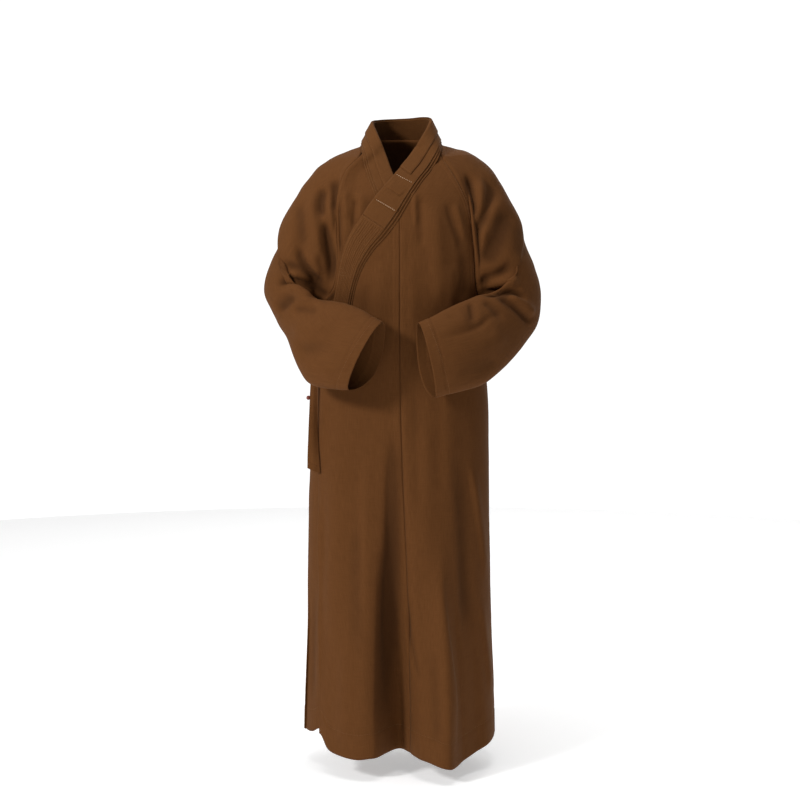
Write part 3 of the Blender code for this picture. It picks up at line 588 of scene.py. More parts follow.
SLEEVE_RIGHT = [
    (0.146, 0.012, -0.019, 0.204, -0.014, -0.371, 0.102, 0.000),
    (0.196, 0.018, -0.052, 0.206, -0.032, -0.368, 0.093, 0.030),
    (0.225, 0.028, -0.116, 0.203, -0.050, -0.364, 0.086, 0.045),
    (0.245, 0.038, -0.194, 0.197, -0.068, -0.360, 0.078, 0.050),
    (0.286, 0.040, -0.270, 0.187, -0.085, -0.356, 0.069, 0.045),
    (0.305, 0.020, -0.330, 0.172, -0.102, -0.352, 0.061, 0.035),
    (0.284, -0.022, -0.386, 0.149, -0.118, -0.350, 0.054, 0.025),
    (0.252, -0.068, -0.436, 0.134, -0.137, -0.351, 0.049, 0.012),
    (0.233, -0.110, -0.484, 0.114, -0.156, -0.355, 0.045, 0.000),
    (0.206, -0.146, -0.526, 0.090, -0.174, -0.363, 0.042, 0.000),
    (0.165, -0.178, -0.538, 0.064, -0.189, -0.377, 0.041, 0.000),
    (0.114, -0.196, -0.539, 0.040, -0.200, -0.391, 0.041, 0.000),
]
LEFT_FRONT_CREASES = [
    ([(0.146, -0.060), (0.155, -0.095), (0.161, -0.130), (0.162, -0.165)], 0.0081, -0.0191, 0.3),
    ([(0.160, -0.150), (0.169, -0.185), (0.169, -0.215), (0.165, -0.250), (0.164, -0.330)],
     0.0074, -0.0209, 0.3),
    ([(0.190, -0.062), (0.196, -0.098), (0.190, -0.140), (0.178, -0.175), (0.170, -0.205)],
     0.0081, -0.0148, 0.3),
    ([(0.176, -0.075), (0.178, -0.110), (0.174, -0.150)], 0.0123, 0.0087, 0.0),
    ([(0.212, -0.066), (0.208, -0.110), (0.196, -0.160), (0.186, -0.205)], 0.0099, -0.0087, 0.3),
    ([(0.222, -0.105), (0.200, -0.160), (0.182, -0.205), (0.172, -0.262)], 0.0111, 0.0104, 0.2),
    ([(0.236, -0.130), (0.224, -0.180), (0.200, -0.235), (0.186, -0.275)], 0.0240, -0.0140, 0.0),
    ([(0.268, -0.170), (0.274, -0.215), (0.262, -0.255)], 0.0185, -0.0052, 0.0),
    ([(0.170, -0.318), (0.188, -0.300), (0.218, -0.286), (0.256, -0.258)], 0.0099, -0.0157, -0.3),
    ([(0.184, -0.312), (0.214, -0.304), (0.244, -0.302), (0.268, -0.312)], 0.0123, 0.0139, 0.0),
    ([(0.172, -0.326), (0.196, -0.327), (0.226, -0.324), (0.250, -0.324), (0.270, -0.336), (0.292, -0.352)],
     0.0061, -0.0174, -0.3),
    ([(0.238, -0.334), (0.262, -0.344), (0.286, -0.366), (0.300, -0.386)], 0.0105, 0.0104, 0.0),
    ([(0.206, -0.330), (0.234, -0.346), (0.258, -0.364), (0.278, -0.384), (0.294, -0.402)],
     0.0086, -0.0130, 0.3),
    ([(0.152, -0.345), (0.156, -0.368), (0.160, -0.395)], 0.0074, -0.0070, 0.2),
    ([(0.064, -0.428), (0.104, -0.422), (0.143, -0.413), (0.176, -0.400), (0.196, -0.384), (0.225, -0.371)],
     0.0074, -0.0059, 0.4),
    ([(0.080, -0.400), (0.120, -0.393), (0.152, -0.378)], 0.0148, 0.0055, 0.0),
    ([(0.100, -0.450), (0.150, -0.446), (0.200, -0.430), (0.250, -0.416)], 0.0222, 0.0062, 0.0),
    ([(0.120, -0.500), (0.170, -0.496), (0.220, -0.470)], 0.0173, -0.0045, 0.2),
    ([(0.180, -0.345), (0.205, -0.362), (0.228, -0.392)], 0.0086, -0.0070, 0.2),
]
RIGHT_FRONT_CREASES = [
    ([(-0.176, -0.090), (-0.180, -0.115), (-0.182, -0.142), (-0.168, -0.165)], 0.0092, -0.0178, 0.2),
    ([(-0.168, -0.160), (-0.170, -0.190), (-0.166, -0.224), (-0.158, -0.262), (-0.153, -0.330)],
     0.0099, -0.0213, 0.3),
    ([(-0.152, -0.070), (-0.150, -0.110), (-0.149, -0.155)], 0.0081, -0.0119, 0.2),
    ([(-0.160, -0.120), (-0.158, -0.160), (-0.157, -0.210)], 0.0081, 0.0075, 0.0),
    ([(-0.198, -0.100), (-0.200, -0.150), (-0.190, -0.205), (-0.178, -0.262)], 0.0135, 0.0101, 0.2),
    ([(-0.230, -0.120), (-0.224, -0.180), (-0.218, -0.240)], 0.0148, -0.0086, 0.0),
    ([(-0.250, -0.150), (-0.246, -0.200), (-0.250, -0.240)], 0.0148, 0.0051, 0.0),
    ([(-0.229, -0.222), (-0.222, -0.250), (-0.200, -0.284), (-0.166, -0.318)], 0.0068, -0.0203, -0.3),
    ([(-0.200, -0.236), (-0.194, -0.262), (-0.176, -0.292)], 0.0111, 0.0101, 0.0),
    ([(-0.276, -0.262), (-0.240, -0.272), (-0.208, -0.292), (-0.172, -0.324)], 0.0086, -0.0145, 0.2),
    ([(-0.250, -0.284), (-0.222, -0.290), (-0.194, -0.308)], 0.0086, 0.0101, 0.0),
    ([(-0.284, -0.316), (-0.258, -0.302), (-0.224, -0.306), (-0.188, -0.328), (-0.156, -0.352)],
     0.0074, -0.0170, 0.3),
    ([(-0.262, -0.322), (-0.230, -0.326), (-0.196, -0.348)], 0.0111, 0.0101, 0.0),
    ([(-0.282, -0.372), (-0.258, -0.352), (-0.229, -0.318)], 0.0123, -0.0101, 0.2),
    ([(-0.244, -0.368), (-0.214, -0.366), (-0.176, -0.372)], 0.0111, -0.0068, 0.2),
    ([(-0.252, -0.420), (-0.200, -0.404), (-0.140, -0.404)], 0.0198, 0.0068, 0.0),
    ([(-0.236, -0.456), (-0.190, -0.448), (-0.130, -0.450)], 0.0198, -0.0051, 0.0),
    ([(-0.220, -0.500), (-0.180, -0.496), (-0.140, -0.500)], 0.0148, 0.0043, 0.0),
]
SLEEVE_BACK_CREASES = [     # distance from the middle, z; used behind both sleeves
    ([(0.150, -0.090), (0.158, -0.150), (0.168, -0.220)], 0.0102, -0.0088, 0.3),
    ([(0.180, -0.080), (0.192, -0.150), (0.198, -0.230)], 0.0132, 0.0055, 0.0),
    ([(0.212, -0.110), (0.216, -0.170), (0.212, -0.250)], 0.0108, -0.0066, 0.2),
    ([(0.300, -0.250), (0.262, -0.276), (0.214, -0.282)], 0.0132, -0.0077, 0.2),
    ([(0.312, -0.300), (0.270, -0.322), (0.216, -0.330)], 0.0120, 0.0066, 0.0),
    ([(0.314, -0.350), (0.268, -0.360), (0.220, -0.358)], 0.0096, -0.0077, 0.3),
    ([(0.298, -0.400), (0.250, -0.412), (0.200, -0.420)], 0.0144, 0.0044, 0.0),
    ([(0.262, -0.455), (0.210, -0.470), (0.150, -0.480)], 0.0132, -0.0044, 0.2),
]
INNER_WALL_AT, INNER_WALL_REACH = math.radians(250.0), math.radians(80.0)
SHOULDER_Z = -0.100         # above this the sleeves stand free of the body's rings
NECK_SHARE = 0.11
ARMHOLE_TOP_FRONT, ARMHOLE_TOP_BACK = -0.026, 0.002
ARMHOLE_CROWD, BLEND_ROWS = 1.35, 1.5
NECK_SIDE = (0.0800, 0.012, 0.006)
FAR_CUFF_LEFT, FAR_CUFF_RIGHT = 0.020, 0.038    # how far the far wall reaches past the near one
CREASE_LIMIT = 0.018         # no crease is deeper than this
GAP_LEFT, GAP_RIGHT = 0.0075, 0.0140    # how far each sleeve stands off the body's rings


def armhole(share, side):
    """Edge of the armhole: 0 is the neck, 0.25 the front raglan, 0.5 the underarm."""
    half_neck = 0.5 * NECK_SHARE
    front = share <= 0.5
    near = np.minimum(share, 1.0 - share)
    top = np.where(front, ARMHOLE_TOP_FRONT, ARMHOLE_TOP_BACK)
    down = np.maximum(near - half_neck, 0.0) / (0.5 - half_neck)
    z = top + (UNDERARM_Z + 0.001 - top) * (1.0 - (1.0 - down) ** ARMHOLE_CROWD)
    x = side * np.where(front, at_height(RAGLAN, z, 1 if side > 0 else 2), at_height(RAGLAN, z, 3))
    points = ring(np.where(front, -1.0, 1.0) * ring_angle(x, z), z)
    t = np.clip(1.0 - near / half_neck, 0.0, 1.0)[..., None]
    neck_side = np.array([side * NECK_SIDE[0], NECK_SIDE[1], NECK_SIDE[2]])
    return points + (neck_side - points) * t * t * (2.0 - t)


def sleeve_section(rows, place, share, side):
    """The sleeve's oval section at a place along its table."""
    n = spline(rows, place)
    ahead, behind = spline(rows, min(place + 0.25, len(rows) - 1.0)), spline(rows, max(place - 0.25, 0.0))
    arm = (ahead[0:3] + ahead[3:6] - behind[0:3] - behind[3:6]) * 0.5
    axis = (n[0:3] - n[3:6]) * 0.5
    front = np.cross(arm, axis)
    front *= -np.sign(front[1]) / np.linalg.norm(front)
    turn = 2.0 * math.pi * share
    middle = (n[0:3] + n[3:6]) * 0.5
    points = middle + axis * np.cos(turn)[:, None] + front * (n[6] * np.sin(turn))[:, None]
    from_inner = np.clip((turn % (2.0 * math.pi) - INNER_WALL_AT) / INNER_WALL_REACH, -1.0, 1.0)
    points[:, 2] -= n[7] * np.cos(0.5 * math.pi * from_inner) ** 2
    return points * np.array([side, 1.0, 1.0])


def clear_of_body(points, gap):
    """Push points that would touch the body out to rings that are wider by gap."""
    z = points[..., 2]
    half_width, front, back = (at_height(BODY, z, column) for column in (1, 2, 3))
    depth = np.where(points[..., 1] < 0.0, front, back) + gap
    x = points[..., 0] - AXIS_X
    radial = ((np.abs(x) / (half_width + gap)) ** ROUNDNESS
              + (np.abs(points[..., 1]) / depth) ** ROUNDNESS) ** (1.0 / ROUNDNESS)
    pushed = 1.0 + 0.025 * np.log1p(np.exp(np.minimum((radial - 1.0) / 0.025, 60.0)))
    grown = pushed / radial
    return np.stack([AXIS_X + x * grown, points[..., 1] * grown, z], axis=-1)


def eased(push, rounds=3):
    """Even out sharp steps in the pushes round and along a sleeve, so that no crease kinks."""
    for _ in range(rounds):
        round_it = np.concatenate([push[:, -2:-1], push, push[:, 1:2]], axis=1)
        push = 0.25 * round_it[:, :-2] + 0.5 * round_it[:, 1:-1] + 0.25 * round_it[:, 2:]
        along = np.concatenate([push[:1], push, push[-1:]], axis=0)
        push = 0.25 * along[:-2] + 0.5 * along[1:-1] + 0.25 * along[2:]
    return push


def sleeve(rows, side, gap, front_creases, back_creases, far_cuff, seed):
    """Points of a whole sleeve, from the armhole to the cuff, with its creases."""
    share = np.linspace(0.0, 1.0, 201)
    place = np.linspace(0.0, float(len(rows)), 193)
    edge, first, second = armhole(share, side), sleeve_section(rows, 0.0, share, side), sleeve_section(
        rows, 1.0, share, side)
    target = sleeve_section(rows, BLEND_ROWS - 1.0, share, side)
    lines = []
    for p in place:
        if p >= BLEND_ROWS:
            line = sleeve_section(rows, p - 1.0, share, side)
        else:
            t = p / BLEND_ROWS
            line = (edge * (2 * t ** 3 - 3 * t ** 2 + 1) + (first - edge) * BLEND_ROWS * (t ** 3 - 2 * t ** 2 + t)
                    + target * (3 * t ** 2 - 2 * t ** 3) + (second - first) * BLEND_ROWS * (t ** 3 - t ** 2))
        hold = (smooth((p - 0.35) / 1.4) * smooth((SHOULDER_Z - line[:, 2]) / 0.10))[:, None]
        line = line + (clear_of_body(line, gap) - line) * hold
        lines.append(line)
    points = np.array(lines)
    turn = 2.0 * math.pi * share
    far = np.clip(-np.sin(turn), 0.0, 1.0) * (0.55 + 0.45 * np.cos(turn))
    reach = smooth((place - 10.5) / 1.5)[:, None] * far[None, :] * far_cuff
    points[..., 0] -= side * reach
    centres = points[:, :-1].mean(axis=1, keepdims=True)
    normal = outward(points, centres, wrapped=True)
    x, z = points[..., 0], points[..., 2]
    facing = smooth(0.5 - 1.2 * normal[..., 1])
    push = creases(x, z, front_creases) * facing + creases(side * x, z, back_creases) * (1.0 - facing)
    push = eased(CREASE_LIMIT * np.tanh(push / CREASE_LIMIT)) * smooth(1.5 + 1.5 * side * normal[..., 0])
    push += 0.0014 * hills(x, z, 0.040, 0.060, seed) + 0.0006 * hills(x, z, 0.016, 0.024, seed + 1)
    puffed = 1.0 - 0.7 * smooth((place - 9.0) / 2.5)
    push *= (smooth(place / 0.22) * puffed)[:, None]
    length = np.cumsum(np.linalg.norm(np.diff(points, axis=0), axis=-1), axis=0)
    from_armhole = np.vstack([np.zeros((1, len(share))), length])
    push += seam_groove(from_armhole) + turned_hem(points, CUFF_DEPTH)
    return points + normal * push[..., None], push


sleeve_left_points, sleeve_left_push = sleeve(
    SLEEVE_LEFT, 1.0, GAP_LEFT, LEFT_FRONT_CREASES, SLEEVE_BACK_CREASES, FAR_CUFF_LEFT, 31)
sleeve_left_cloth = cloth("left_sleeve", sleeve_left_points, BROWNS, wrapped=True,
                           push=sleeve_left_push)
sleeve_right_points, sleeve_right_push = sleeve(
    SLEEVE_RIGHT, -1.0, GAP_RIGHT, RIGHT_FRONT_CREASES, SLEEVE_BACK_CREASES, FAR_CUFF_RIGHT, 37)
sleeve_right_cloth = cloth("right_sleeve", sleeve_right_points, BROWNS, wrapped=True,
                           push=sleeve_right_push)
for piece, cad in ((sleeve_left_cloth, "sleeve_left"), (sleeve_right_cloth, "sleeve_right")):
    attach(piece, "root")
    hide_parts(cad)

# ------------------------------------------------------------ collar band
# A long band of the same cloth in stacked, stitched layers, each narrower than the one
# below. It lies on the chest, stands round the neck and crosses left over right.
BAND = [    # neck edge, body edge, hug of the chest, level (-1 on the inner front)
    (-0.172, -0.10, -0.425, -0.128, -0.11, -0.430, 1.0, 0.0),
    (-0.157, -0.10, -0.380, -0.114, -0.11, -0.385, 1.0, 0.0),
    (-0.147, -0.10, -0.336, -0.106, -0.11, -0.338, 1.0, 0.0),
    (-0.140, -0.10, -0.296, -0.097, -0.11, -0.303, 1.0, 0.0),
    (-0.132, -0.10, -0.252, -0.083, -0.11, -0.268, 1.0, 0.0),
    (-0.117, -0.10, -0.207, -0.059, -0.11, -0.232, 1.0, 0.0),
    (-0.093, -0.10, -0.168, -0.033, -0.11, -0.203, 1.0, 0.0),
    (-0.064, -0.10, -0.124, -0.008, -0.11, -0.171, 1.0, 0.0),
    (-0.033, -0.10, -0.087, 0.018, -0.11, -0.127, 1.0, 0.0),
    (-0.003, -0.07, -0.052, 0.044, -0.09, -0.086, 1.0, 0.0),
    (0.019, -0.060, -0.025, 0.066, -0.070, -0.058, 1.0, 0.0),
    (0.041, -0.046, 0.009, 0.0845, -0.069, -0.028, 0.25, 0.0),
    (0.057, -0.018, 0.042, 0.0915, -0.024, -0.002, 0.0, 0.0),
    (0.062, 0.013, 0.062, 0.0905, 0.024, 0.005, 0.0, 0.0),
    (0.048, 0.043, 0.067, 0.072, 0.079, 0.002, 0.0, 0.0),
    (0.018, 0.060, 0.066, 0.027, 0.090, -0.002, 0.0, 0.0),
    (-0.018, 0.060, 0.064, -0.027, 0.090, -0.002, 0.0, 0.0),
    (-0.047, 0.043, 0.060, -0.072, 0.079, 0.002, 0.0, 0.0),
    (-0.060, 0.013, 0.055, -0.090, 0.024, 0.003, 0.0, 0.0),
    (-0.055, -0.018, 0.036, -0.090, -0.024, -0.006, 0.0, 0.0),
    (-0.044, -0.046, 0.005, -0.085, -0.071, -0.032, 0.25, -0.25),
    (-0.032, -0.060, -0.024, -0.078, -0.070, -0.060, 1.0, -0.7),
    (-0.018, -0.075, -0.060, -0.067, -0.090, -0.092, 1.0, -1.0),
    (0.003, -0.10, -0.100, -0.048, -0.11, -0.136, 1.0, -1.0),
    (0.030, -0.10, -0.140, -0.020, -0.11, -0.178, 1.0, -1.0),
    (0.064, -0.10, -0.184, 0.014, -0.11, -0.222, 1.0, -1.0),
]
FIRST_LAYER, LAYER_STEP, GUARD_LAYER = 0.0013, 0.0021, 3.3
MIDDLE_SHARE, TOP_SHARE, GUARD_SHARE = 0.91, 0.82, 0.52
BAND_END, LAYERS_END = 25.0, 23.0
QUILT_TOP, GUARD_START = 6.3, 9.0
QUILT_ROWS, QUILT_PUFF = 10, 0.0015
TAB_SLANT = 0.20            # the cross folds of the plain stretch run a little up the band
BAND_WALL = 0.0010


def band_surface(place, across):
    """Points of the band before layering, with their level."""
    n = spline(BAND, place)
    share = across[..., None]
    points = n[..., 0:3] * (1.0 - share) + n[..., 3:6] * share
    x, z = points[..., 0], np.minimum(points[..., 2], -0.004)
    chest = ring(-ring_angle(x, z), z)[..., 1] - front_drape(x, z)
    hug = np.clip(n[..., 6], 0.0, 1.0)
    points[..., 1] += (chest - points[..., 1]) * hug
    return points, np.clip(n[..., 7], -1.0, 0.0)


def band_points(first, last, per_place, share_first, share_last, columns, layer, relief=None):
    """One layer of the band: a grid along and across it, moved out by its layer and relief."""
    along = np.linspace(first, last, max(int((last - first) * per_place), 4) + 1)
    across = np.linspace(share_first, share_last, columns + 1)
    place, share = np.meshgrid(along, across, indexing="ij")
    points, level = band_surface(place, share)
    step = 0.04
    forward = band_surface(place + step, share)[0] - band_surface(place - step, share)[0]
    over = (band_surface(place, np.minimum(share + step, 1.0))[0]
            - band_surface(place, np.maximum(share - step, 0.0))[0])
    normal = np.cross(over, forward)
    normal /= np.linalg.norm(normal, axis=-1, keepdims=True)
    out = FIRST_LAYER + layer * LAYER_STEP + INNER_DEPTH * level
    if relief is not None:
        out = out + relief(place, share)
    return points + normal * out[..., None], normal


def rolled_neck_edge(place, share):
    """A layer's neck edge turns in over the edges of the layers below it."""
    return -0.0024 * (1.0 - smooth(share / 0.035))


def quilting(place, share):
    """Rows of stitching along the band with the padding puffed up between them."""
    inside = smooth((share - 0.05) / 0.03) * smooth((0.80 - share) / 0.03)
    end = smooth((QUILT_TOP - 0.08 - place) / 0.08)
    rows = np.abs(np.sin(math.pi * QUILT_ROWS * (share - 0.06) / (0.80 - 0.06)))
    return rolled_neck_edge(place, share) + QUILT_PUFF * (np.sqrt(rows + 0.02) - 0.6) * inside * end


def folded_tabs(place, share):
    """The plain stretch lies in short flat steps, each overlapping the next one down."""
    steps = np.zeros(np.broadcast(place, share).shape)
    for at, depth, share_first, share_last in (
            (8.57, 0.0007, -0.1, 0.78), (7.82, 0.0022, 0.12, 0.68), (7.10, 0.0008, -0.1, 1.0)):
        inside = smooth((share - share_first) / 0.04) * smooth((share_last - share) / 0.04)
        at = at + TAB_SLANT * share
        fall = (place - at) / 0.5
        edge = np.where(fall > 0.0, np.maximum(1.0 - fall, 0.0), 0.0) * smooth((place - at) / 0.03)
        steps = steps + depth * edge * inside
        steps = steps - 0.0010 * np.exp(-((place - at) / 0.028) ** 2) * inside
    return rolled_neck_edge(place, share) + steps


def guard_edges(place, share):
    """The neck guard is soft and rounds over at its cut end and its long edge."""
    end = 1.0 - smooth((place - GUARD_START) / 0.10)
    side = 1.0 - smooth((GUARD_SHARE - share) / 0.05)
    return rolled_neck_edge(place, share) - 0.0016 * np.maximum(end, side)


BAND_BROWNS = ((0.128, 0.0490, 0.0135), (0.094, 0.0340, 0.0078))
band_layers = [     # name, CAD node, first, last, per place, share from, to, columns, layer, relief
    ("collar_band_base", "collar_base", 0.0, BAND_END, 14, 0.02, 1.0, 26, 0, None),
    ("collar_band_middle", "collar_middle", 0.0, LAYERS_END, 14, 0.02, MIDDLE_SHARE, 24, 1, None),
    ("collar_band_quilted", "collar_quilted", 0.0, QUILT_TOP, 26, 0.0, TOP_SHARE, 96, 2, quilting),
    ("collar_band_plain", "collar_plain", QUILT_TOP + 0.015, LAYERS_END, 34, 0.0, TOP_SHARE, 30, 2, folded_tabs),
    ("neck_guard", "collar_guard", GUARD_START, LAYERS_END, 22, 0.0, GUARD_SHARE, 24, GUARD_LAYER, guard_edges),
]
band_cloths, band_grids = {}, {}
for name, cad, first, last, per_place, from_share, to_share, columns, layer, relief in band_layers:
    points, normal = band_points(first, last, per_place, from_share, to_share, columns, layer, relief)
    band_grids[name] = (points, normal)
    piece = cloth(name, points, BAND_BROWNS, wall=BAND_WALL)
    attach(piece, "root")
    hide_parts(cad)
    band_cloths[name] = piece

# ------------------------------------------------------------ stitching
# Fine brown top-stitching along the raglans, band, quilting, cuffs and hem, and two short
# lines of pale thread across the band. Each group is one joined mesh of separate stitches.
STITCH_LENGTH, STITCH_GAP, STITCH_WIDTH, STITCH_HEIGHT = 0.0026, 0.0012, 0.0005, 0.0003


def stitch_material(name, colour):
    material = bpy.data.materials.new(name)
    material.use_nodes = True
    shader = material.node_tree.nodes["Principled BSDF"]
    shader.inputs["Base Color"].default_value = (*colour, 1.0)
    shader.inputs["Roughness"].default_value = 0.7
    return material


def stitches(name, lines, material, length=STITCH_LENGTH, gap=STITCH_GAP, width=STITCH_WIDTH,
             height=STITCH_HEIGHT, lift=CLOTH_WALL / 2):
    """Small raised stitches along lines of (points, normals), joined into one mesh."""
    verts, faces = [], []
    for points, normals in lines:
        run = np.concatenate([[0.0], np.cumsum(np.linalg.norm(np.diff(points, axis=0), axis=-1))])
        starts = np.arange(0.0, run[-1] - length, length + gap)
        for start in starts:
            a, b = (np.array([np.interp(s, run, points[:, k]) for k in range(3)]) for s in (start, start + length))
            up = np.array([np.interp(start, run, normals[:, k]) for k in range(3)])
            up /= np.linalg.norm(up)
            along = (b - a) / max(np.linalg.norm(b - a), 1e-9)
            aside = np.cross(along, up) * width * 0.5
            low, high = up * lift, up * (lift + height)
            base = len(verts)
            middle = (a + b) * 0.5
            verts += [a + low, b + low, middle + aside + low, middle - aside + low, middle + high]
            faces += [(base, base + 2, base + 4), (base + 2, base + 1, base + 4), (base + 1, base + 3, base + 4),
                      (base + 3, base, base + 4), (base, base + 3, base + 1, base + 2)]
    mesh = bpy.data.meshes.new(name)
    mesh.from_pydata([tuple(v) for v in verts], [], faces)
    mesh.materials.append(material)
    piece = bpy.data.objects.new(name, mesh)
    bpy.context.scene.collection.objects.link(piece)
    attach(piece, "root")
    return piece


def grid_line(points, centre_y=0.0, row=None, column=None, wrapped=False):
    """A line of a grid with its outward normals, for stitching."""
    if wrapped:
        centres = points[:, :-1].mean(axis=1, keepdims=True)
    else:
        centres = points * np.array([0.0, 0.0, 1.0]) + np.array([AXIS_X, centre_y, 0.0])
    normal = outward(points, centres, wrapped)
    return (points[row], normal[row]) if row is not None else (points[:, column], normal[:, column])


def band_line(name, place_from, place_to, share_from, share_to, steps):
    """A line on a layer of the band between two places and shares, with its normals."""
    first, last, from_share, to_share = band_extents[name]
    points, normal = band_grids[name]
    t = np.linspace(0.0, 1.0, steps)
    row = (place_from + (place_to - place_from) * t - first) / (last - first) * (points.shape[0] - 1)
    across = (share_from + (share_to - share_from) * t - from_share) / (to_share - from_share)
    column = across * (points.shape[1] - 1)
    row, column = np.clip(row, 0, points.shape[0] - 1.001), np.clip(column, 0, points.shape[1] - 1.001)
    i, j = row.astype(int), column.astype(int)
    a, b = (row - i)[:, None], (column - j)[:, None]
    return tuple((g[i, j] * (1 - b) + g[i, j + 1] * b) * (1 - a)
                 + (g[i + 1, j] * (1 - b) + g[i + 1, j + 1] * b) * a for g in (points, normal))


band_extents = {row[0]: (row[2], row[3], row[5], row[6]) for row in band_layers}
thread = stitch_material("brown_thread", (0.215, 0.100, 0.038))
pale_thread = stitch_material("pale_thread", (0.78, 0.56, 0.36))
raglan_rows = 75
body_lines = [
    tuple(part[6:raglan_rows] for part in grid_line(front_left_points, column=-6)),
    tuple(part[6:raglan_rows] for part in grid_line(front_inner_points, column=6)),
    tuple(part[6:raglan_rows] for part in grid_line(back_points, column=6)),
    tuple(part[6:raglan_rows] for part in grid_line(back_points, column=-7)),
    grid_line(front_left_points, row=-10),
    grid_line(front_right_points, row=-10),
    grid_line(front_inner_points, row=-8),
    grid_line(back_points, row=-9),
]
body_stitches = stitches("body_top_stitching", body_lines, thread)
sleeve_lines = [grid_line(points, row=-9, wrapped=True) for points in (sleeve_left_points, sleeve_right_points)]
sleeve_stitches = stitches("cuff_stitching", sleeve_lines, thread)
band_lines = [
    band_line("collar_band_base", 0.2, 25.0, 0.975, 0.975, 700),
    band_line("collar_band_middle", 0.2, 22.8, 0.885, 0.885, 700),
    band_line("collar_band_plain", QUILT_TOP, 22.8, 0.795, 0.795, 500),
    band_line("neck_guard", GUARD_START + 0.08, 22.8, 0.49, 0.49, 500),
    band_line("neck_guard", GUARD_START + 0.08, GUARD_START + 0.08, 0.03, 0.49, 20),
    band_line("collar_band_plain", 7.80, 7.94, 0.10, 0.70, 20),
]
for k in range(QUILT_ROWS + 1):
    share = 0.06 + 0.74 * k / QUILT_ROWS
    band_lines.append(band_line("collar_band_quilted", 0.2 + 0.07 * (k % 3), QUILT_TOP - 0.10, share, share, 260))
for at in (3.20, 3.36, 3.52, QUILT_TOP - 0.06):
    band_lines.append(band_line("collar_band_quilted", at, at, 0.04, 0.80, 30))
band_stitches = stitches("band_stitching", band_lines, thread, width=0.0006, height=0.00035)
pale_lines = [
    band_line("collar_band_plain", 8.60, 8.74, 0.08, 0.76, 30),
    band_line("collar_band_plain", 7.14, 7.32, 0.09, 0.815, 30),
]
pale_stitches = stitches("pale_cross_stitching", pale_lines, pale_thread, length=0.0040, gap=0.0006,
                         width=0.0013, height=0.0006)

# ------------------------------------------------------------ streamer
# A long tapering tie of doubled cloth at the right side, sewn on under the arm and hemmed
# with a slanted fold at its low end. It hangs free in front of the skirt.
STREAMER = [    # z, middle x, y, half width
    (-0.515, -0.1960, -0.071, 0.0070),
    (-0.545, -0.1980, -0.075, 0.0075),
    (-0.600, -0.1990, -0.080, 0.0090),
    (-0.660, -0.1990, -0.083, 0.0115),
    (-0.700, -0.1985, -0.085, 0.0135),
    (-0.733, -0.1975, -0.087, 0.0150),
]


def streamer():
    across, down = grid(12, 90)
    n = spline(np.array(STREAMER), down * (len(STREAMER) - 1))
    side = 2.0 * across - 1.0
    z = n[..., 0] - 0.006 * side * down
    y = n[..., 2] - 0.0025 * side * np.sin(9.0 * down) - 0.0012 * np.cos(3.0 * side)
    fold = smooth((down - 0.905) / 0.01)
    return np.stack([n[..., 1] + n[..., 3] * side, y - 0.0008 * fold, z], axis=-1)


streamer_points = streamer()
streamer_cloth = cloth("side_streamer_cloth", streamer_points, BROWNS, wall=0.0014)
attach(streamer_cloth, "root")
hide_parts("side_streamer")

# ------------------------------------------------------------ knot button
# A small ball knot of red-brown cord at the right side seam. It takes a loop of the tie
# when the robe is closed.
KNOT_AT, KNOT_RADIUS = (-0.2130, -0.012, -0.573), 0.0050


def knot():
    turn, rise = np.meshgrid(np.linspace(0.0, 2.0 * math.pi, 49), np.linspace(-math.pi / 2, math.pi / 2, 33))
    weave = np.abs(np.sin(3.0 * turn + 4.0 * rise)) * 0.5 + np.abs(np.sin(3.0 * turn - 4.0 * rise)) * 0.5
    radius = KNOT_RADIUS * (0.86 + 0.16 * weave)
    points = np.stack([radius * np.cos(rise) * np.cos(turn), radius * np.cos(rise) * np.sin(turn),
                       radius * np.sin(rise)], axis=-1) + np.array(KNOT_AT)
    mesh = bpy.data.meshes.new("knot_button")
    rows, columns = points.shape[:2]
    index = np.arange(rows * columns).reshape(rows, columns)
    index[:, -1] = index[:, 0]
    quads = np.stack([index[:-1, :-1], index[:-1, 1:], index[1:, 1:], index[1:, :-1]], axis=-1).reshape(-1, 4)
    mesh.from_pydata(points.reshape(-1, 3).tolist(), [], quads.tolist())
    mesh.shade_smooth()
    mesh.materials.append(stitch_material("knot_cord", (0.200, 0.038, 0.022)))
    piece = bpy.data.objects.new("knot_button", mesh)
    bpy.context.scene.collection.objects.link(piece)
    return piece


knot_piece = knot()
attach(knot_piece, "root")
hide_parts("side_knot")

# ------------------------------------------------------------ studio
# A pale floor at the height of the wearer's soles, a large soft key light high on the
# robe's right, a broad light overhead and even light from all round.
FLOOR_Z = -1.425
FLOOR_RADIUS = 4.0
floor_mesh = bpy.data.meshes.new("floor")
rim = [2.0 * math.pi * k / 96 for k in range(96)]
floor_mesh.from_pydata([(FLOOR_RADIUS * math.cos(a), FLOOR_RADIUS * math.sin(a), FLOOR_Z) for a in rim], [],
                       [tuple(range(96))])
floor = bpy.data.objects.new("floor", floor_mesh)
bpy.context.scene.collection.objects.link(floor)
floor_paint = bpy.data.materials.new("pale_floor")
floor_paint.use_nodes = True
floor_paint.node_tree.nodes["Principled BSDF"].inputs["Base Color"].default_value = (0.90, 0.90, 0.90, 1.0)
floor_paint.node_tree.nodes["Principled BSDF"].inputs["Roughness"].default_value = 0.8
floor_paint.node_tree.nodes["Principled BSDF"].inputs["Emission Color"].default_value = (1.0, 1.0, 1.0, 1.0)
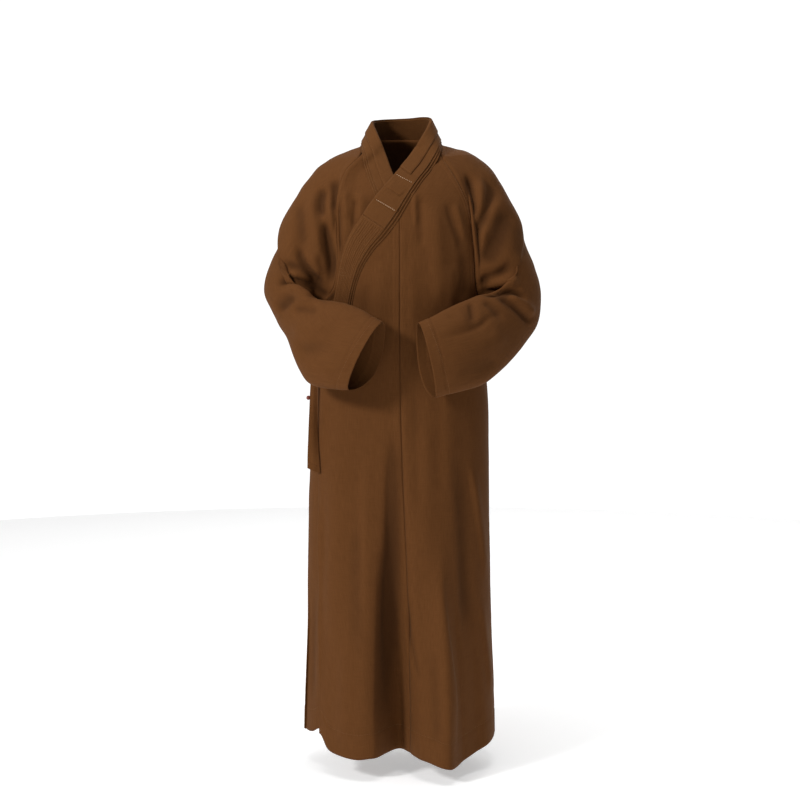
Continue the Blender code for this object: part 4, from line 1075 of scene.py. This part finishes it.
floor_paint.node_tree.nodes["Principled BSDF"].inputs["Emission Strength"].default_value = 0.40
floor_mesh.materials.append(floor_paint)


def soft_light(name, at, aim, size, power):
    lamp = bpy.data.lights.new(name, "AREA")
    lamp.shape, lamp.size, lamp.energy = "DISK", size, power
    holder = bpy.data.objects.new(name, lamp)
    from_to = np.array(aim, dtype=float) - np.array(at, dtype=float)
    yaw = math.atan2(from_to[0], -from_to[1])
    pitch = math.atan2(math.hypot(from_to[0], from_to[1]), -from_to[2])
    holder.location, holder.rotation_euler = at, (pitch, 0.0, yaw + math.pi)
    bpy.context.scene.collection.objects.link(holder)


soft_light("key", (-2.9, -2.6, 1.4), (0.0, 0.0, -0.7), 0.8, 118.0)
soft_light("overhead", (0.0, -0.6, 3.2), (0.0, 0.0, -0.7), 2.2, 70.0)
soft_light("behind", (1.2, 3.4, 1.4), (0.0, 0.0, -0.6), 2.4, 40.0)

world = bpy.data.worlds.new("even_light")
bpy.context.scene.world = world
world.use_nodes = True
tree = world.node_tree
sky = tree.nodes["Background"]
direction = tree.nodes.new("ShaderNodeTexCoord")
towards = node(tree, "ShaderNodeSeparateXYZ")
spread = node(tree, "ShaderNodeMapRange", interpolation_type="SMOOTHSTEP", in_1=0.55, in_2=0.90,
              in_3=0.20, in_4=1.10)
sky.inputs["Color"].default_value = (1.0, 1.0, 1.0, 1.0)
tree.links.new(direction.outputs["Generated"], towards.inputs[0])
tree.links.new(towards.outputs[1], spread.inputs[0])
tree.links.new(spread.outputs[0], sky.inputs["Strength"])

# ------------------------------------------------------------ camera
# Level with the upper chest, straight in front, tipped down a little.
camera_data = bpy.data.cameras.new("camera")
camera_data.lens, camera_data.sensor_width = 82.2, 36.0
camera = bpy.data.objects.new("camera", camera_data)
camera.location = (-0.0023, -4.2, -0.2)
camera.rotation_euler = (math.radians(90.0) - math.atan(165.0 / 1827.0), 0.0, 0.0)
bpy.context.scene.collection.objects.link(camera)
bpy.context.scene.camera = camera
bpy.context.scene.view_settings.view_transform = "Standard"
